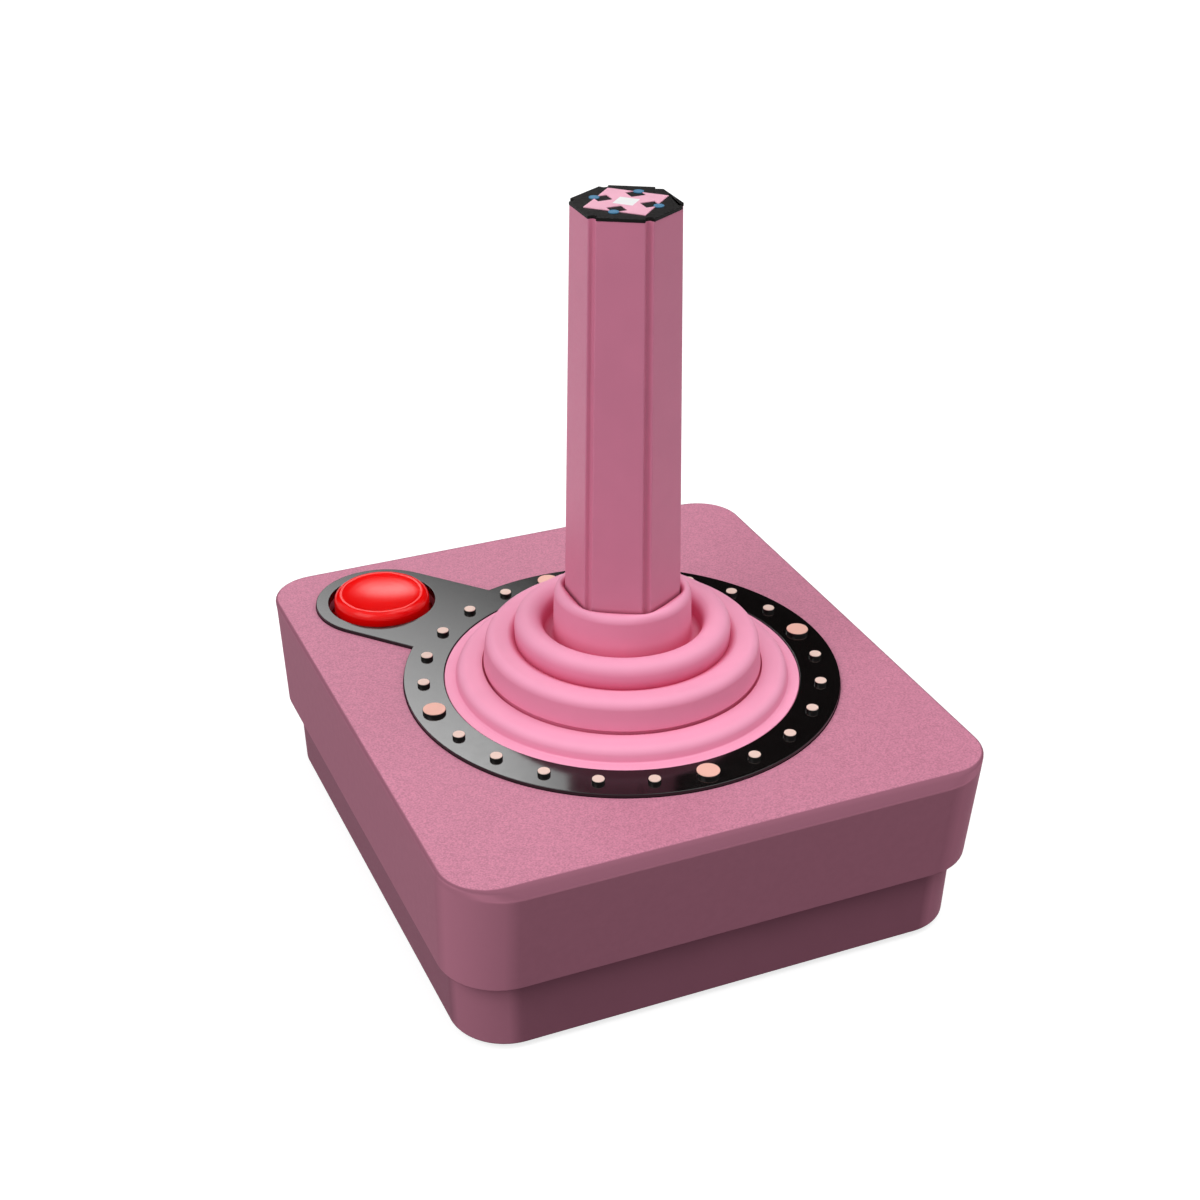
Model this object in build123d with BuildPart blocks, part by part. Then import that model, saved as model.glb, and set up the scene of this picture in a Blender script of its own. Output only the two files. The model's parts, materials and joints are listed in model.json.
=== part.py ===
from build123d import *
import math
import os

# Arcade joystick: a tapered six-sided stick in a rubber bellows, on a rounded two-shell base with
# one fire button at its back left corner.
# The origin is the centre of the base where it stands, +X to the right, +Y to the back, +Z up.
# Lengths are in millimetres and angles in degrees.

# Base shells
base_width = 88.9
base_depth = 98.6
foot_stand = 1.0
lower_height = 12.2
upper_height = 18.9
bevel = 1.5
hem_inset = 0.5
step_inset = 2.2
floor_inset = 2.6
face_corner = 7.6
shoulder_corner = 10.2
hem_corner = 9.8
skirt_corner = 8.9
face_round = 0.4
hem_round = 0.25
floor_round = 0.4
wall = 2.4
ceiling = 3.4
floor_thickness = 2.2
tongue_height = 1.5
tongue_thickness = 1.2
shell_gap = 0.15
rib_thickness = 1.2
rib_height = 2.5

# Screw posts, feet and the cable's way out, set in from the sides of the base
post_inset = 8.95
post_y = 20.0
post_radius = 4.2
boss_radius = 3.6
well_radius = 3.2
screw_seat = 4.2
foot_side_inset = 9.45
foot_end_inset = 10.3
foot_radius = 4.5
foot_recess = 0.6
inlet_radius = 3.0
inlet_height = 7.4

# Places on the top face: the stick from the centre, the button from the left side and the back
stick_x = 1.2
stick_y = -3.0
button_side_inset = 16.85
button_back_inset = 14.6

# Black bezel plate with its ring of studs
bezel_radius = 35.5
bezel_thickness = 1.4
bezel_recess = 0.8
bezel_gap = 0.1
bezel_round = 0.25
tab_radius = 11.3
tab_turn = -49.0
stud_count = 24
stud_ring_radius = 32.3
small_stud_radius = 1.0
large_stud_radius = 1.85
stud_rise = 0.5
stud_cap = 0.12

# Rubber boot, from its collar outwards
rubber = 1.3
collar_wall = 1.35
collar_height = 16.5
collar_fit = 0.15
moat_width = 2.1
moat_height = 7.6
inner_ridge_width = 4.3
inner_ridge_height = 11.6
middle_ridge_width = 4.5
middle_ridge_height = 8.1
outer_ridge_width = 5.1
outer_ridge_height = 2.8
lip_width = 1.9
crease_width = 0.3
crease_depth = 0.6
boot_gap = 0.3
flange_width = 4.6
flange_thickness = 1.0

# Stick
grip_top_radius = 8.65
grip_collar_radius = 9.65
grip_bottom = 5.0
stick_height = 79.6
groove_width = 2.2
groove_depth = 0.95
groove_flare = 40.0
shaft_radius = 4.0
shaft_flat = 0.8
shaft_in_grip = 62.0
cap_thickness = 0.5
print_thickness = 0.12

# Pivot of the stick
tilt_limit = 8.0
pivot_depth = 9.5
stick_opening = 14.0
pin_radius = 1.5
ring_inner_radius = 8.0
ring_outer_radius = 12.5
ring_height = 6.0
ring_boss_radius = 2.8
cheek_gap = 0.3
cheek_inner = 14.0
cheek_thickness = 4.0
cheek_radius = 4.5
hub_radius = 5.5
hub_height = 9.0
frame_radius = 21.5
frame_opening = 14.2
frame_thickness = 2.4
frame_boss_height = 2.5
frame_boss_radius = 3.2
frame_screw_ring_radius = 18.0
frame_screw_turn = 45.0

# Actuator, board and switches
board_stand = 4.5
board_thickness = 1.6
board_width = 46.0
board_corner = 3.0
board_arm = 16.0
board_screw_square_width = 35.0
standoff_radius = 3.0
dome_radius = 4.5
dome_height = 0.9
dome_sheet = 0.25
pad_ring_radius = 11.0
pad_radius = 2.6
pad_height = 2.3
arm_width = 5.0
arm_thickness = 1.8
actuator_hub_radius = 6.5
actuator_hub_height = 3.6
header_offset = 3.0
header_length = 12.0
header_width = 5.0
header_height = 6.0
header_pins = 5
header_pin_width = 0.64

# Fire button
button_radius = 8.2
button_hole = 9.2
button_rise = 2.2
button_rim = 1.1
button_dish = 0.5
button_travel = 1.4
button_flange_radius = 10.4
button_flange_thickness = 1.6
guide_wall = 1.6
guide_depth = 6.7
skirt_radius = 6.6
skirt_inner_radius = 4.9
skirt_bottom_drop = 12.1
plunger_radius = 2.2
spring_radius = 5.6
spring_wire = 0.35
spring_turns = 5

# Screws: shank radius, with heads and lengths worked out from it
housing_screw_radius = 1.5
housing_screw_length = 16.0
board_screw_radius = 1.0
board_screw_length = 5.0
frame_screw_radius = 1.2
frame_screw_length = 5.6
actuator_screw_length = 6.0

# Fits
running_gap = 0.05
press_gap = 0.02
touch_gap = 0.1

# Places that follow the size of the base
post_x = base_width / 2 - post_inset
foot_x = base_width / 2 - foot_side_inset
foot_y = base_depth / 2 - foot_end_inset
button_x = button_side_inset - base_width / 2
button_y = base_depth / 2 - button_back_inset

# Heights of the main levels
seam_z = foot_stand + lower_height
face_z = seam_z + upper_height
shoulder_z = face_z - bevel
ceiling_z = face_z - ceiling
floor_z = foot_stand + floor_thickness
seat_z = foot_stand + screw_seat
pivot_z = face_z - pivot_depth
bezel_z = face_z - bezel_recess
bezel_top_z = bezel_z + bezel_thickness
flange_z = bezel_z - flange_thickness
frame_top_z = ceiling_z - frame_boss_height
frame_z = frame_top_z - frame_thickness
board_z = floor_z + board_stand
board_top_z = board_z + board_thickness
dome_top_z = board_top_z + dome_height
grip_bottom_z = face_z + grip_bottom
shaft_top_z = grip_bottom_z + shaft_in_grip

# The pads sink by this much when the stick leans over to its limit, and just meet the domes there
pad_drop = (pad_ring_radius + pad_radius / 2) * math.sin(math.radians(tilt_limit))
pad_z = dome_top_z + pad_drop + touch_gap
arm_z = pad_z + pad_height
shaft_bottom_z = arm_z + arm_thickness

# The boot's ridges stand one outside the other, round the collar
collar_radius = grip_collar_radius + collar_wall
moat_radius = collar_radius + moat_width
inner_ridge_radius = moat_radius + inner_ridge_width
middle_ridge_radius = inner_ridge_radius + middle_ridge_width
outer_ridge_radius = middle_ridge_radius + outer_ridge_width
lip_radius = outer_ridge_radius + lip_width
bezel_opening = lip_radius + boot_gap
flange_radius = bezel_opening + flange_width

stick_plane = Plane((stick_x, stick_y, face_z))
pivot_point = (stick_x, stick_y, pivot_z)
across_x = Plane(pivot_point, z_dir=(1, 0, 0))
across_y = Plane(pivot_point, z_dir=(0, 1, 0))

os.makedirs("parts", exist_ok=True)


def finish(builder, name):
    """Label a finished piece and write it under its own name."""
    builder.part.label = name
    export_step(builder.part, f"parts/{name}.step")
    print(f"{name}: {len(builder.part.solids())} solids, {builder.part.volume:.1f} mm3")


def rim_edges(builder, end):
    """The outline of a piece's lowest face (end 0) or highest face (end -1)."""
    return builder.faces().sort_by(Axis.Z)[end].outer_wire().edges()


def level(height, inset, corner, deeper=0.0):
    """A shell's outline at a height: the top face's, set in all round and deeper front and back."""
    with BuildSketch(Plane.XY.offset(height)) as outline:
        RectangleRounded(base_width - 2 * inset, base_depth - 2 * inset + 2 * deeper, corner)
    return outline.sketch


def bezel_outline(height, grow=0.0):
    """The bezel plate's outline: a disc round the stick, with a straight-sided tab to the button."""
    tab_reach = math.hypot(stick_x - button_x, stick_y - button_y)
    with BuildSketch(Plane.XY.offset(height)) as outline:
        with Locations((stick_x, stick_y)):
            Circle(bezel_radius + grow)
        with Locations((button_x, button_y)):
            Circle(tab_radius + grow)
            Rectangle(
                tab_reach,
                2 * (tab_radius + grow),
                rotation=tab_turn,
                align=(Align.MIN, Align.CENTER),
            )
    return outline.sketch


def grip_section(height, gap=0.0):
    """The grip's section at a height above the top face: a hexagon with a flared groove at each corner."""
    taper = (grip_collar_radius - grip_top_radius) / (stick_height - collar_height)
    radius = grip_top_radius + taper * (stick_height - height) + gap
    with BuildSketch(stick_plane.offset(height)) as section:
        RegularPolygon(radius, 6, rotation=30)
        with PolarLocations(radius, 6, start_angle=30):
            Trapezoid(
                groove_width - 2 * gap,
                groove_depth,
                90 - groove_flare,
                rotation=90,
                align=(Align.CENTER, Align.MIN),
                mode=Mode.SUBTRACT,
            )
    return section.sketch


def shaft_section(height, gap=0.0):
    """The stick shaft's section at a height: round, with one flat against turning."""
    size = 2 * (shaft_radius + gap)
    with BuildSketch(Plane((stick_x, stick_y, height))) as section:
        Circle(shaft_radius + gap)
        with Locations((shaft_radius - shaft_flat + gap, 0)):
            Rectangle(size, size, align=(Align.MIN, Align.CENTER), mode=Mode.SUBTRACT)
    return section.sketch


def pan_screw(shank_radius, length):
    """A cross-head screw that points up, with the underside of its head at the origin."""
    head_radius = 1.85 * shank_radius
    head_height = 1.2 * shank_radius
    slot_length = 1.2 * head_radius
    slot_width = 0.25 * head_radius
    with BuildPart() as screw:
        with BuildSketch():
            Circle(shank_radius)
        extrude(amount=length)
        chamfer(screw.edges().group_by(Axis.Z)[-1], shank_radius / 3)
        with BuildSketch():
            Circle(head_radius)
        extrude(amount=-head_height)
        fillet(screw.edges().group_by(Axis.Z)[0], head_height / 2)
        with BuildSketch(Plane.XY.offset(-head_height)):
            Rectangle(slot_length, slot_width)
            Rectangle(slot_width, slot_length)
        extrude(amount=head_height / 2, mode=Mode.SUBTRACT)
    return screw.part


def screw_set(places, shank_radius, length, name, turn=0):
    """Identical screws, one at each place under its head, turned over where they point down."""
    screw = pan_screw(shank_radius, length)
    with BuildPart() as screws:
        with Locations(*[Location(place, (turn, 0, 0)) for place in places]):
            add(screw)
    finish(screws, name)


def corners(centre_x, centre_y, spacing_x, spacing_y, height):
    """The four corners of a rectangle at a height."""
    return [
        (centre_x + side_x * spacing_x / 2, centre_y + side_y * spacing_y / 2, height)
        for side_x in (-1, 1)
        for side_y in (-1, 1)
    ]


def round_stick(radius, count, height, start=0.0):
    """Places evenly spaced on a circle round the stick's axis."""
    turns = [math.radians(start + 360 * step / count) for step in range(count)]
    return [
        (stick_x + radius * math.cos(turn), stick_y + radius * math.sin(turn), height)
        for turn in turns
    ]


post_places = corners(0, 0, 2 * post_x, 2 * post_y, seat_z)
foot_places = corners(0, 0, 2 * foot_x, 2 * foot_y, 0)
board_screw_places = corners(
    stick_x, stick_y, board_screw_square_width, board_screw_square_width, board_top_z
)
frame_screw_places = round_stick(frame_screw_ring_radius, 4, frame_z, start=frame_screw_turn)
dome_places = round_stick(pad_ring_radius, 4, board_top_z)
fire_dome_place = (button_x, button_y, board_top_z)


# Upper housing
with BuildPart() as upper_housing:
    loft([level(seam_z, hem_inset, hem_corner), level(shoulder_z, 0, shoulder_corner, bevel)])
    loft([level(shoulder_z, 0, shoulder_corner, bevel), level(face_z, 0, face_corner)])
    fillet(rim_edges(upper_housing, -1), face_round)
    fillet(rim_edges(upper_housing, 0), hem_round)
    hollow_bottom = level(seam_z, hem_inset + wall, hem_corner - wall)
    hollow_top = level(ceiling_z, wall, shoulder_corner - wall, bevel)
    loft([hollow_bottom, hollow_top], mode=Mode.SUBTRACT)

    # Bosses for the four housing screws, each tied to the side wall by a rib
    with BuildSketch(Plane.XY.offset(seam_z)):
        with GridLocations(2 * post_x, 2 * post_y, 2, 2):
            Circle(boss_radius)
    extrude(amount=ceiling_z - seam_z)
    rib_reach = base_width / 2 - wall / 2 - post_x
    with BuildSketch(Plane.XY.offset(seam_z + tongue_height + shell_gap)):
        with GridLocations(2 * post_x + rib_reach, 2 * post_y, 2, 2):
            Rectangle(rib_reach, rib_thickness)
    extrude(amount=ceiling_z - seam_z - tongue_height - shell_gap)

    # Guide collar that the fire button slides in
    guide_radius = button_flange_radius + touch_gap
    with BuildSketch(Plane.XY.offset(ceiling_z - guide_depth)):
        with Locations((button_x, button_y)):
            Circle(guide_radius + guide_wall)
    extrude(amount=guide_depth)
    with BuildSketch(Plane.XY.offset(ceiling_z - guide_depth)):
        with Locations((button_x, button_y)):
            Circle(guide_radius)
    extrude(amount=guide_depth, mode=Mode.SUBTRACT)

    # Bosses that carry the pivot frame
    with BuildSketch(Plane.XY.offset(frame_top_z)):
        with Locations((stick_x, stick_y)):
            with PolarLocations(frame_screw_ring_radius, 4, start_angle=frame_screw_turn):
                Circle(frame_boss_radius)
    extrude(amount=frame_boss_height)

    # Recesses in the top face: the bezel plate, and deeper under it the boot's flange
    extrude(bezel_outline(bezel_z, bezel_gap), amount=bezel_recess, mode=Mode.SUBTRACT)
    with BuildSketch(Plane.XY.offset(flange_z)):
        with Locations((stick_x, stick_y)):
            Circle(flange_radius + bezel_gap)
    extrude(amount=flange_thickness, mode=Mode.SUBTRACT)

    # Openings for the stick and the button
    with BuildSketch(Plane.XY.offset(face_z)):
        with Locations((stick_x, stick_y)):
            Circle(stick_opening)
        with Locations((button_x, button_y)):
            Circle(button_hole)
    extrude(amount=-ceiling, mode=Mode.SUBTRACT)

    # Screw holes
    with BuildSketch(Plane.XY.offset(seam_z)):
        with GridLocations(2 * post_x, 2 * post_y, 2, 2):
            Circle(housing_screw_radius + running_gap)
    extrude(amount=seat_z + housing_screw_length - seam_z + touch_gap, mode=Mode.SUBTRACT)
    with BuildSketch(Plane.XY.offset(frame_top_z)):
        with Locations((stick_x, stick_y)):
            with PolarLocations(frame_screw_ring_radius, 4, start_angle=frame_screw_turn):
                Circle(frame_screw_radius + running_gap)
    extrude(amount=frame_screw_length - frame_thickness + touch_gap, mode=Mode.SUBTRACT)
finish(upper_housing, "upper_housing")

# Lower housing
with BuildPart() as lower_housing:
    loft([level(foot_stand, floor_inset, skirt_corner), level(seam_z, step_inset, skirt_corner)])
    fillet(rim_edges(lower_housing, 0), floor_round)
    tray_bottom = level(floor_z, floor_inset + wall, skirt_corner - wall)
    tray_top = level(seam_z, step_inset + wall, skirt_corner - wall)
    loft([tray_bottom, tray_top], mode=Mode.SUBTRACT)

    # Tongue that locates the upper housing from inside
    tongue_inset = hem_inset + wall + shell_gap
    tongue_corner = hem_corner - wall - shell_gap
    extrude(level(seam_z, tongue_inset, tongue_corner), amount=tongue_height)
    inside_inset = tongue_inset + tongue_thickness
    inside_corner = tongue_corner - tongue_thickness
    inside = level(seam_z, inside_inset, inside_corner)
    extrude(inside, amount=tongue_height, mode=Mode.SUBTRACT)

    # Posts for the housing screws, standoffs for the board and a rest under the fire switch
    with BuildSketch(Plane.XY.offset(foot_stand)):
        with GridLocations(2 * post_x, 2 * post_y, 2, 2):
            Circle(post_radius)
    extrude(amount=lower_height)
    with BuildSketch(Plane.XY.offset(floor_z)):
        with Locations((stick_x, stick_y)):
            with GridLocations(board_screw_square_width, board_screw_square_width, 2, 2):
                Circle(standoff_radius)
        with Locations((button_x, button_y)):
            Circle(standoff_radius)
    extrude(amount=board_stand)

    # Floor ribs across the front and back of the tray
    rib_span = base_width - 2 * (floor_inset + wall)
    with BuildSketch(Plane.XY.offset(floor_z)):
        with GridLocations(0, 2 * post_y, 1, 2):
            Rectangle(rib_span, rib_thickness)
    extrude(amount=rib_height)

    # Screw wells and holes, seats for the feet, and the cable's way out at the back
    with BuildSketch(Plane.XY.offset(foot_stand)):
        with GridLocations(2 * post_x, 2 * post_y, 2, 2):
            Circle(well_radius)
    extrude(amount=screw_seat, mode=Mode.SUBTRACT)
    with BuildSketch(Plane.XY.offset(seat_z)):
        with GridLocations(2 * post_x, 2 * post_y, 2, 2):
            Circle(housing_screw_radius + touch_gap)
    extrude(amount=seam_z - seat_z, mode=Mode.SUBTRACT)
    with BuildSketch(Plane.XY.offset(foot_stand)):
        with GridLocations(2 * foot_x, 2 * foot_y, 2, 2):
            Circle(foot_radius + touch_gap)
    extrude(amount=foot_recess, mode=Mode.SUBTRACT)
    with BuildSketch(Plane.XY.offset(board_z)):
        with Locations((stick_x, stick_y)):
            with GridLocations(board_screw_square_width, board_screw_square_width, 2, 2):
                Circle(board_screw_radius + running_gap)
    extrude(amount=-(board_screw_length - board_thickness + touch_gap), mode=Mode.SUBTRACT)
    with BuildSketch(Plane((0, 0, inlet_height), z_dir=(0, 1, 0))):
        Circle(inlet_radius)
    extrude(amount=base_depth / 2, mode=Mode.SUBTRACT)
finish(lower_housing, "lower_housing")

# Rubber feet
with BuildPart() as rubber_feet:
    with BuildSketch():
        with GridLocations(2 * foot_x, 2 * foot_y, 2, 2):
            Circle(foot_radius)
    extrude(amount=foot_stand + foot_recess)
    chamfer(rubber_feet.edges().group_by(Axis.Z)[0], foot_stand / 2)
finish(rubber_feet, "rubber_feet")

# Bezel plate with a ring of small studs and a large one at each quarter
small_stud_places = [
    place
    for step, place in enumerate(round_stick(stud_ring_radius, stud_count, bezel_top_z))
    if step % (stud_count // 4)
]
large_stud_places = round_stick(stud_ring_radius, 4, bezel_top_z)
with BuildPart() as bezel_plate:
    extrude(bezel_outline(bezel_z), amount=bezel_thickness)
    fillet(rim_edges(bezel_plate, -1), bezel_round)
    with BuildSketch(Plane.XY.offset(bezel_z)):
        with Locations((stick_x, stick_y)):
            Circle(bezel_opening)
        with Locations((button_x, button_y)):
            Circle(button_hole)
    extrude(amount=bezel_thickness, mode=Mode.SUBTRACT)
    with Locations(*small_stud_places):
        Cylinder(small_stud_radius, stud_rise, align=(Align.CENTER, Align.CENTER, Align.MIN))
    with Locations(*large_stud_places):
        Cylinder(large_stud_radius, stud_rise, align=(Align.CENTER, Align.CENTER, Align.MIN))
finish(bezel_plate, "bezel_plate")


def stud_caps(places, radius, name):
    """The light tops of the studs, one thin disc on each."""
    with BuildPart(Plane.XY.offset(stud_rise)) as caps:
        with Locations(*places):
            Cylinder(radius, stud_cap, align=(Align.CENTER, Align.CENTER, Align.MIN))
    finish(caps, name)


stud_caps(small_stud_places, small_stud_radius, "small_stud_caps")
stud_caps(large_stud_places, large_stud_radius, "large_stud_caps")

# Rubber boot: ridges round a moat, and a collar that hugs the six-sided stick
with BuildPart() as boot_form:
    soft = rubber / 2
    round_over = 1.5 * rubber
    core = grip_collar_radius / 2
    ridge_slope = 0.4 * rubber
    outside = [
        (core, collar_height, 0),
        (collar_radius, collar_height, rubber),
        (collar_radius, moat_height, soft),
        (moat_radius - ridge_slope, moat_height, soft),
        (moat_radius, inner_ridge_height, round_over),
        (inner_ridge_radius, inner_ridge_height, round_over),
        (inner_ridge_radius, middle_ridge_height, soft),
        (middle_ridge_radius, middle_ridge_height, round_over),
        (middle_ridge_radius + ridge_slope, outer_ridge_height - crease_depth, 0),
        (middle_ridge_radius + ridge_slope + crease_width, outer_ridge_height, 0),
        (outer_ridge_radius - ridge_slope, outer_ridge_height, round_over),
        (outer_ridge_radius, soft / 2, soft / 4),
        (lip_radius, 0, 0),
        (lip_radius, -bezel_recess, 0),
        (flange_radius, -bezel_recess, 0),
        (flange_radius, -bezel_recess - flange_thickness, 0),
    ]
    inside = [
        (outer_ridge_radius - rubber, -bezel_recess - flange_thickness, 0),
        (outer_ridge_radius - rubber - ridge_slope, outer_ridge_height - rubber, soft),
        (middle_ridge_radius - rubber + ridge_slope, outer_ridge_height - rubber, 0),
        (middle_ridge_radius - rubber, middle_ridge_height - rubber, soft),
        (inner_ridge_radius - rubber, middle_ridge_height - rubber, 0),
        (inner_ridge_radius - rubber, inner_ridge_height - rubber, soft),
        (moat_radius + rubber, inner_ridge_height - rubber, soft),
        (moat_radius + rubber - ridge_slope, moat_height - rubber, 0),
        (core, moat_height - rubber, 0),
    ]
    profile = outside + inside
    with BuildSketch(Plane.XZ) as half_section:
        with BuildLine():
            FilletPolyline(
                *[(radius, height) for radius, height, _ in profile],
                radius=[corner for _, _, corner in profile],
                close=True,
            )
        make_face()
    revolve(axis=Axis.Z)
with BuildPart() as rubber_boot:
    with Locations((stick_x, stick_y, face_z)):
        add(boot_form.part)
    hole_bottom = grip_section(moat_height - 2 * rubber, collar_fit)
    hole_top = grip_section(collar_height + rubber, collar_fit)
    loft([hole_bottom, hole_top], mode=Mode.SUBTRACT)
finish(rubber_boot, "rubber_boot")

# Stick grip: a tapered hexagon, closed by its cap and bored for the shaft
with BuildPart() as stick_grip:
    loft([grip_section(grip_bottom), grip_section(stick_height - cap_thickness)])
    bore = shaft_section(grip_bottom_z, running_gap)
    extrude(bore, amount=shaft_in_grip + touch_gap, mode=Mode.SUBTRACT)
finish(stick_grip, "stick_grip")

with BuildPart() as stick_cap:
    extrude(grip_section(stick_height - cap_thickness), amount=cap_thickness)
    chamfer(rim_edges(stick_cap, -1), print_thickness)
finish(stick_cap, "stick_cap")

# Print on the cap: a four-way arrow cross round a diamond, with a dot in each quarter
cross_reach = 0.78 * grip_top_radius
bar_width = 0.34 * grip_top_radius
head_width = 0.66 * grip_top_radius
head_length = 0.34 * grip_top_radius
diamond_width = 0.36 * grip_top_radius
dot_radius = 0.09 * grip_top_radius
dot_ring_radius = 0.58 * grip_top_radius
cap_plane = stick_plane.offset(stick_height)
with BuildPart() as cap_arrows:
    with BuildSketch(cap_plane):
        bar_length = 2 * (cross_reach - head_length)
        Rectangle(bar_length, bar_width)
        Rectangle(bar_width, bar_length)
        for quarter in range(4):
            with BuildLine(Rot(0, 0, 90 * quarter)):
                Polyline(
                    (cross_reach, 0),
                    (cross_reach - head_length, head_width / 2),
                    (cross_reach - head_length, -head_width / 2),
                    close=True,
                )
            make_face()
        Rectangle(diamond_width, diamond_width, rotation=45, mode=Mode.SUBTRACT)
    extrude(amount=print_thickness)
finish(cap_arrows, "cap_arrows")

with BuildPart() as cap_diamond:
    with BuildSketch(cap_plane):
        Rectangle(diamond_width, diamond_width, rotation=45)
    extrude(amount=print_thickness)
finish(cap_diamond, "cap_diamond")

with BuildPart() as cap_dots:
    with BuildSketch(cap_plane):
        with PolarLocations(dot_ring_radius, 4, start_angle=45):
            Circle(dot_radius)
    extrude(amount=print_thickness)
finish(cap_dots, "cap_dots")

# Stick shaft, with a thicker hub where the cross pin goes through
with BuildPart() as stick_shaft:
    extrude(shaft_section(shaft_bottom_z), amount=shaft_top_z - shaft_bottom_z)
    with BuildSketch(Plane(pivot_point).offset(-hub_height / 2)):
        Circle(hub_radius)
    extrude(amount=hub_height)
    hub_rims = stick_shaft.edges().filter_by(GeomType.CIRCLE)
    chamfer(hub_rims.filter_by(lambda rim: rim.radius == hub_radius), pin_radius / 3)
    with BuildSketch(across_y):
        Circle(pin_radius + press_gap)
    extrude(amount=hub_radius, both=True, mode=Mode.SUBTRACT)
    with BuildSketch(Plane((stick_x, stick_y, shaft_bottom_z))):
        Circle(housing_screw_radius + running_gap)
    extrude(amount=actuator_screw_length - arm_thickness + touch_gap, mode=Mode.SUBTRACT)
finish(stick_shaft, "stick_shaft")

# Gimbal ring: it leans to the front and back on its own pins and carries the cross pin
with BuildPart() as gimbal_ring:
    with BuildSketch(Plane(pivot_point).offset(-ring_height / 2)):
        Circle(ring_outer_radius)
    extrude(amount=ring_height)
    chamfer(gimbal_ring.edges().filter_by(GeomType.CIRCLE), pin_radius / 3)
    with BuildSketch(across_x):
        Circle(ring_boss_radius)
    extrude(amount=cheek_inner - cheek_gap, both=True)
    with BuildSketch(Plane(pivot_point).offset(-ring_height / 2)):
        Circle(ring_inner_radius)
    extrude(amount=ring_height, mode=Mode.SUBTRACT)
    with BuildSketch(across_x):
        Circle(pin_radius + press_gap)
    extrude(amount=cheek_inner, both=True, mode=Mode.SUBTRACT)
    with BuildSketch(across_y):
        Circle(pin_radius + running_gap)
    extrude(amount=cheek_inner, both=True, mode=Mode.SUBTRACT)
finish(gimbal_ring, "gimbal_ring")

with BuildPart() as ring_pins:
    with BuildSketch(across_x):
        Circle(pin_radius)
    extrude(amount=cheek_inner + cheek_thickness - touch_gap, both=True)
    with BuildSketch(Plane(pivot_point).offset(-ring_height / 2)):
        Circle(ring_inner_radius + touch_gap)
    extrude(amount=ring_height, mode=Mode.SUBTRACT)
finish(ring_pins, "ring_pins")

with BuildPart() as cross_pin:
    with BuildSketch(across_y):
        Circle(pin_radius)
    extrude(amount=ring_outer_radius - cheek_gap, both=True)
finish(cross_pin, "cross_pin")

# Pivot frame: a round plate under the top face, with two cheeks that hold the ring's pins
with BuildPart() as pivot_frame:
    with BuildSketch(Plane((stick_x, stick_y, frame_z))):
        Circle(frame_radius)
        Circle(frame_opening, mode=Mode.SUBTRACT)
    extrude(amount=frame_thickness)
    cheek_drop = frame_top_z - pivot_z
    for side in (-1, 1):
        cheek_side = Plane(pivot_point, x_dir=(0, 1, 0), z_dir=(side, 0, 0))
        with BuildSketch(cheek_side.offset(cheek_inner)):
            Circle(cheek_radius)
            with Locations((0, cheek_drop / 2)):
                Rectangle(2 * cheek_radius, cheek_drop)
        extrude(amount=cheek_thickness)
    with BuildSketch(across_x):
        Circle(pin_radius + running_gap)
    extrude(amount=cheek_inner + cheek_thickness, both=True, mode=Mode.SUBTRACT)
    with BuildSketch(Plane((stick_x, stick_y, frame_z))):
        with PolarLocations(frame_screw_ring_radius, 4, start_angle=frame_screw_turn):
            Circle(frame_screw_radius + touch_gap)
    extrude(amount=frame_thickness, mode=Mode.SUBTRACT)
finish(pivot_frame, "pivot_frame")
screw_set(frame_screw_places, frame_screw_radius, frame_screw_length, "pivot_frame_screws")

# Actuator on the shaft's foot: four arms, each with a pad over its switch
with BuildPart() as actuator:
    with BuildSketch(Plane((stick_x, stick_y, arm_z))):
        with PolarLocations(pad_ring_radius, 4):
            Circle(pad_radius)
    extrude(amount=-pad_height)
    fillet(actuator.edges().group_by(Axis.Z)[0], pad_radius / 3)
    with BuildSketch(Plane((stick_x, stick_y, arm_z))):
        Rectangle(2 * pad_ring_radius, arm_width)
        Rectangle(arm_width, 2 * pad_ring_radius)
        with PolarLocations(pad_ring_radius, 4):
            Circle(pad_radius)
    extrude(amount=arm_thickness)
    with BuildSketch(Plane((stick_x, stick_y, arm_z))):
        Circle(actuator_hub_radius)
    extrude(amount=actuator_hub_height)
    socket = shaft_section(shaft_bottom_z, running_gap)
    extrude(socket, amount=actuator_hub_height, mode=Mode.SUBTRACT)
    with BuildSketch(Plane((stick_x, stick_y, arm_z))):
        Circle(housing_screw_radius + touch_gap)
    extrude(amount=arm_thickness, mode=Mode.SUBTRACT)
finish(actuator, "actuator")
screw_set([(stick_x, stick_y, arm_z)], housing_screw_radius, actuator_screw_length, "actuator_screw")

# Circuit board with an arm that reaches under the fire button
with BuildPart() as circuit_board:
    with BuildSketch(Plane.XY.offset(board_z)):
        with Locations((stick_x, stick_y)):
            RectangleRounded(board_width, board_width, board_corner)
        arm_run = math.hypot(button_x - stick_x, button_y - stick_y)
        arm_turn = math.degrees(math.atan2(button_y - stick_y, button_x - stick_x))
        with Locations(((stick_x + button_x) / 2, (stick_y + button_y) / 2)):
            SlotCenterToCenter(arm_run, board_arm, rotation=arm_turn)
        with Locations((stick_x, stick_y)):
            with GridLocations(board_screw_square_width, board_screw_square_width, 2, 2):
                Circle(board_screw_radius + touch_gap, mode=Mode.SUBTRACT)
    extrude(amount=board_thickness)
finish(circuit_board, "circuit_board")
screw_set(board_screw_places, board_screw_radius, board_screw_length, "board_screws", turn=180)

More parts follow.
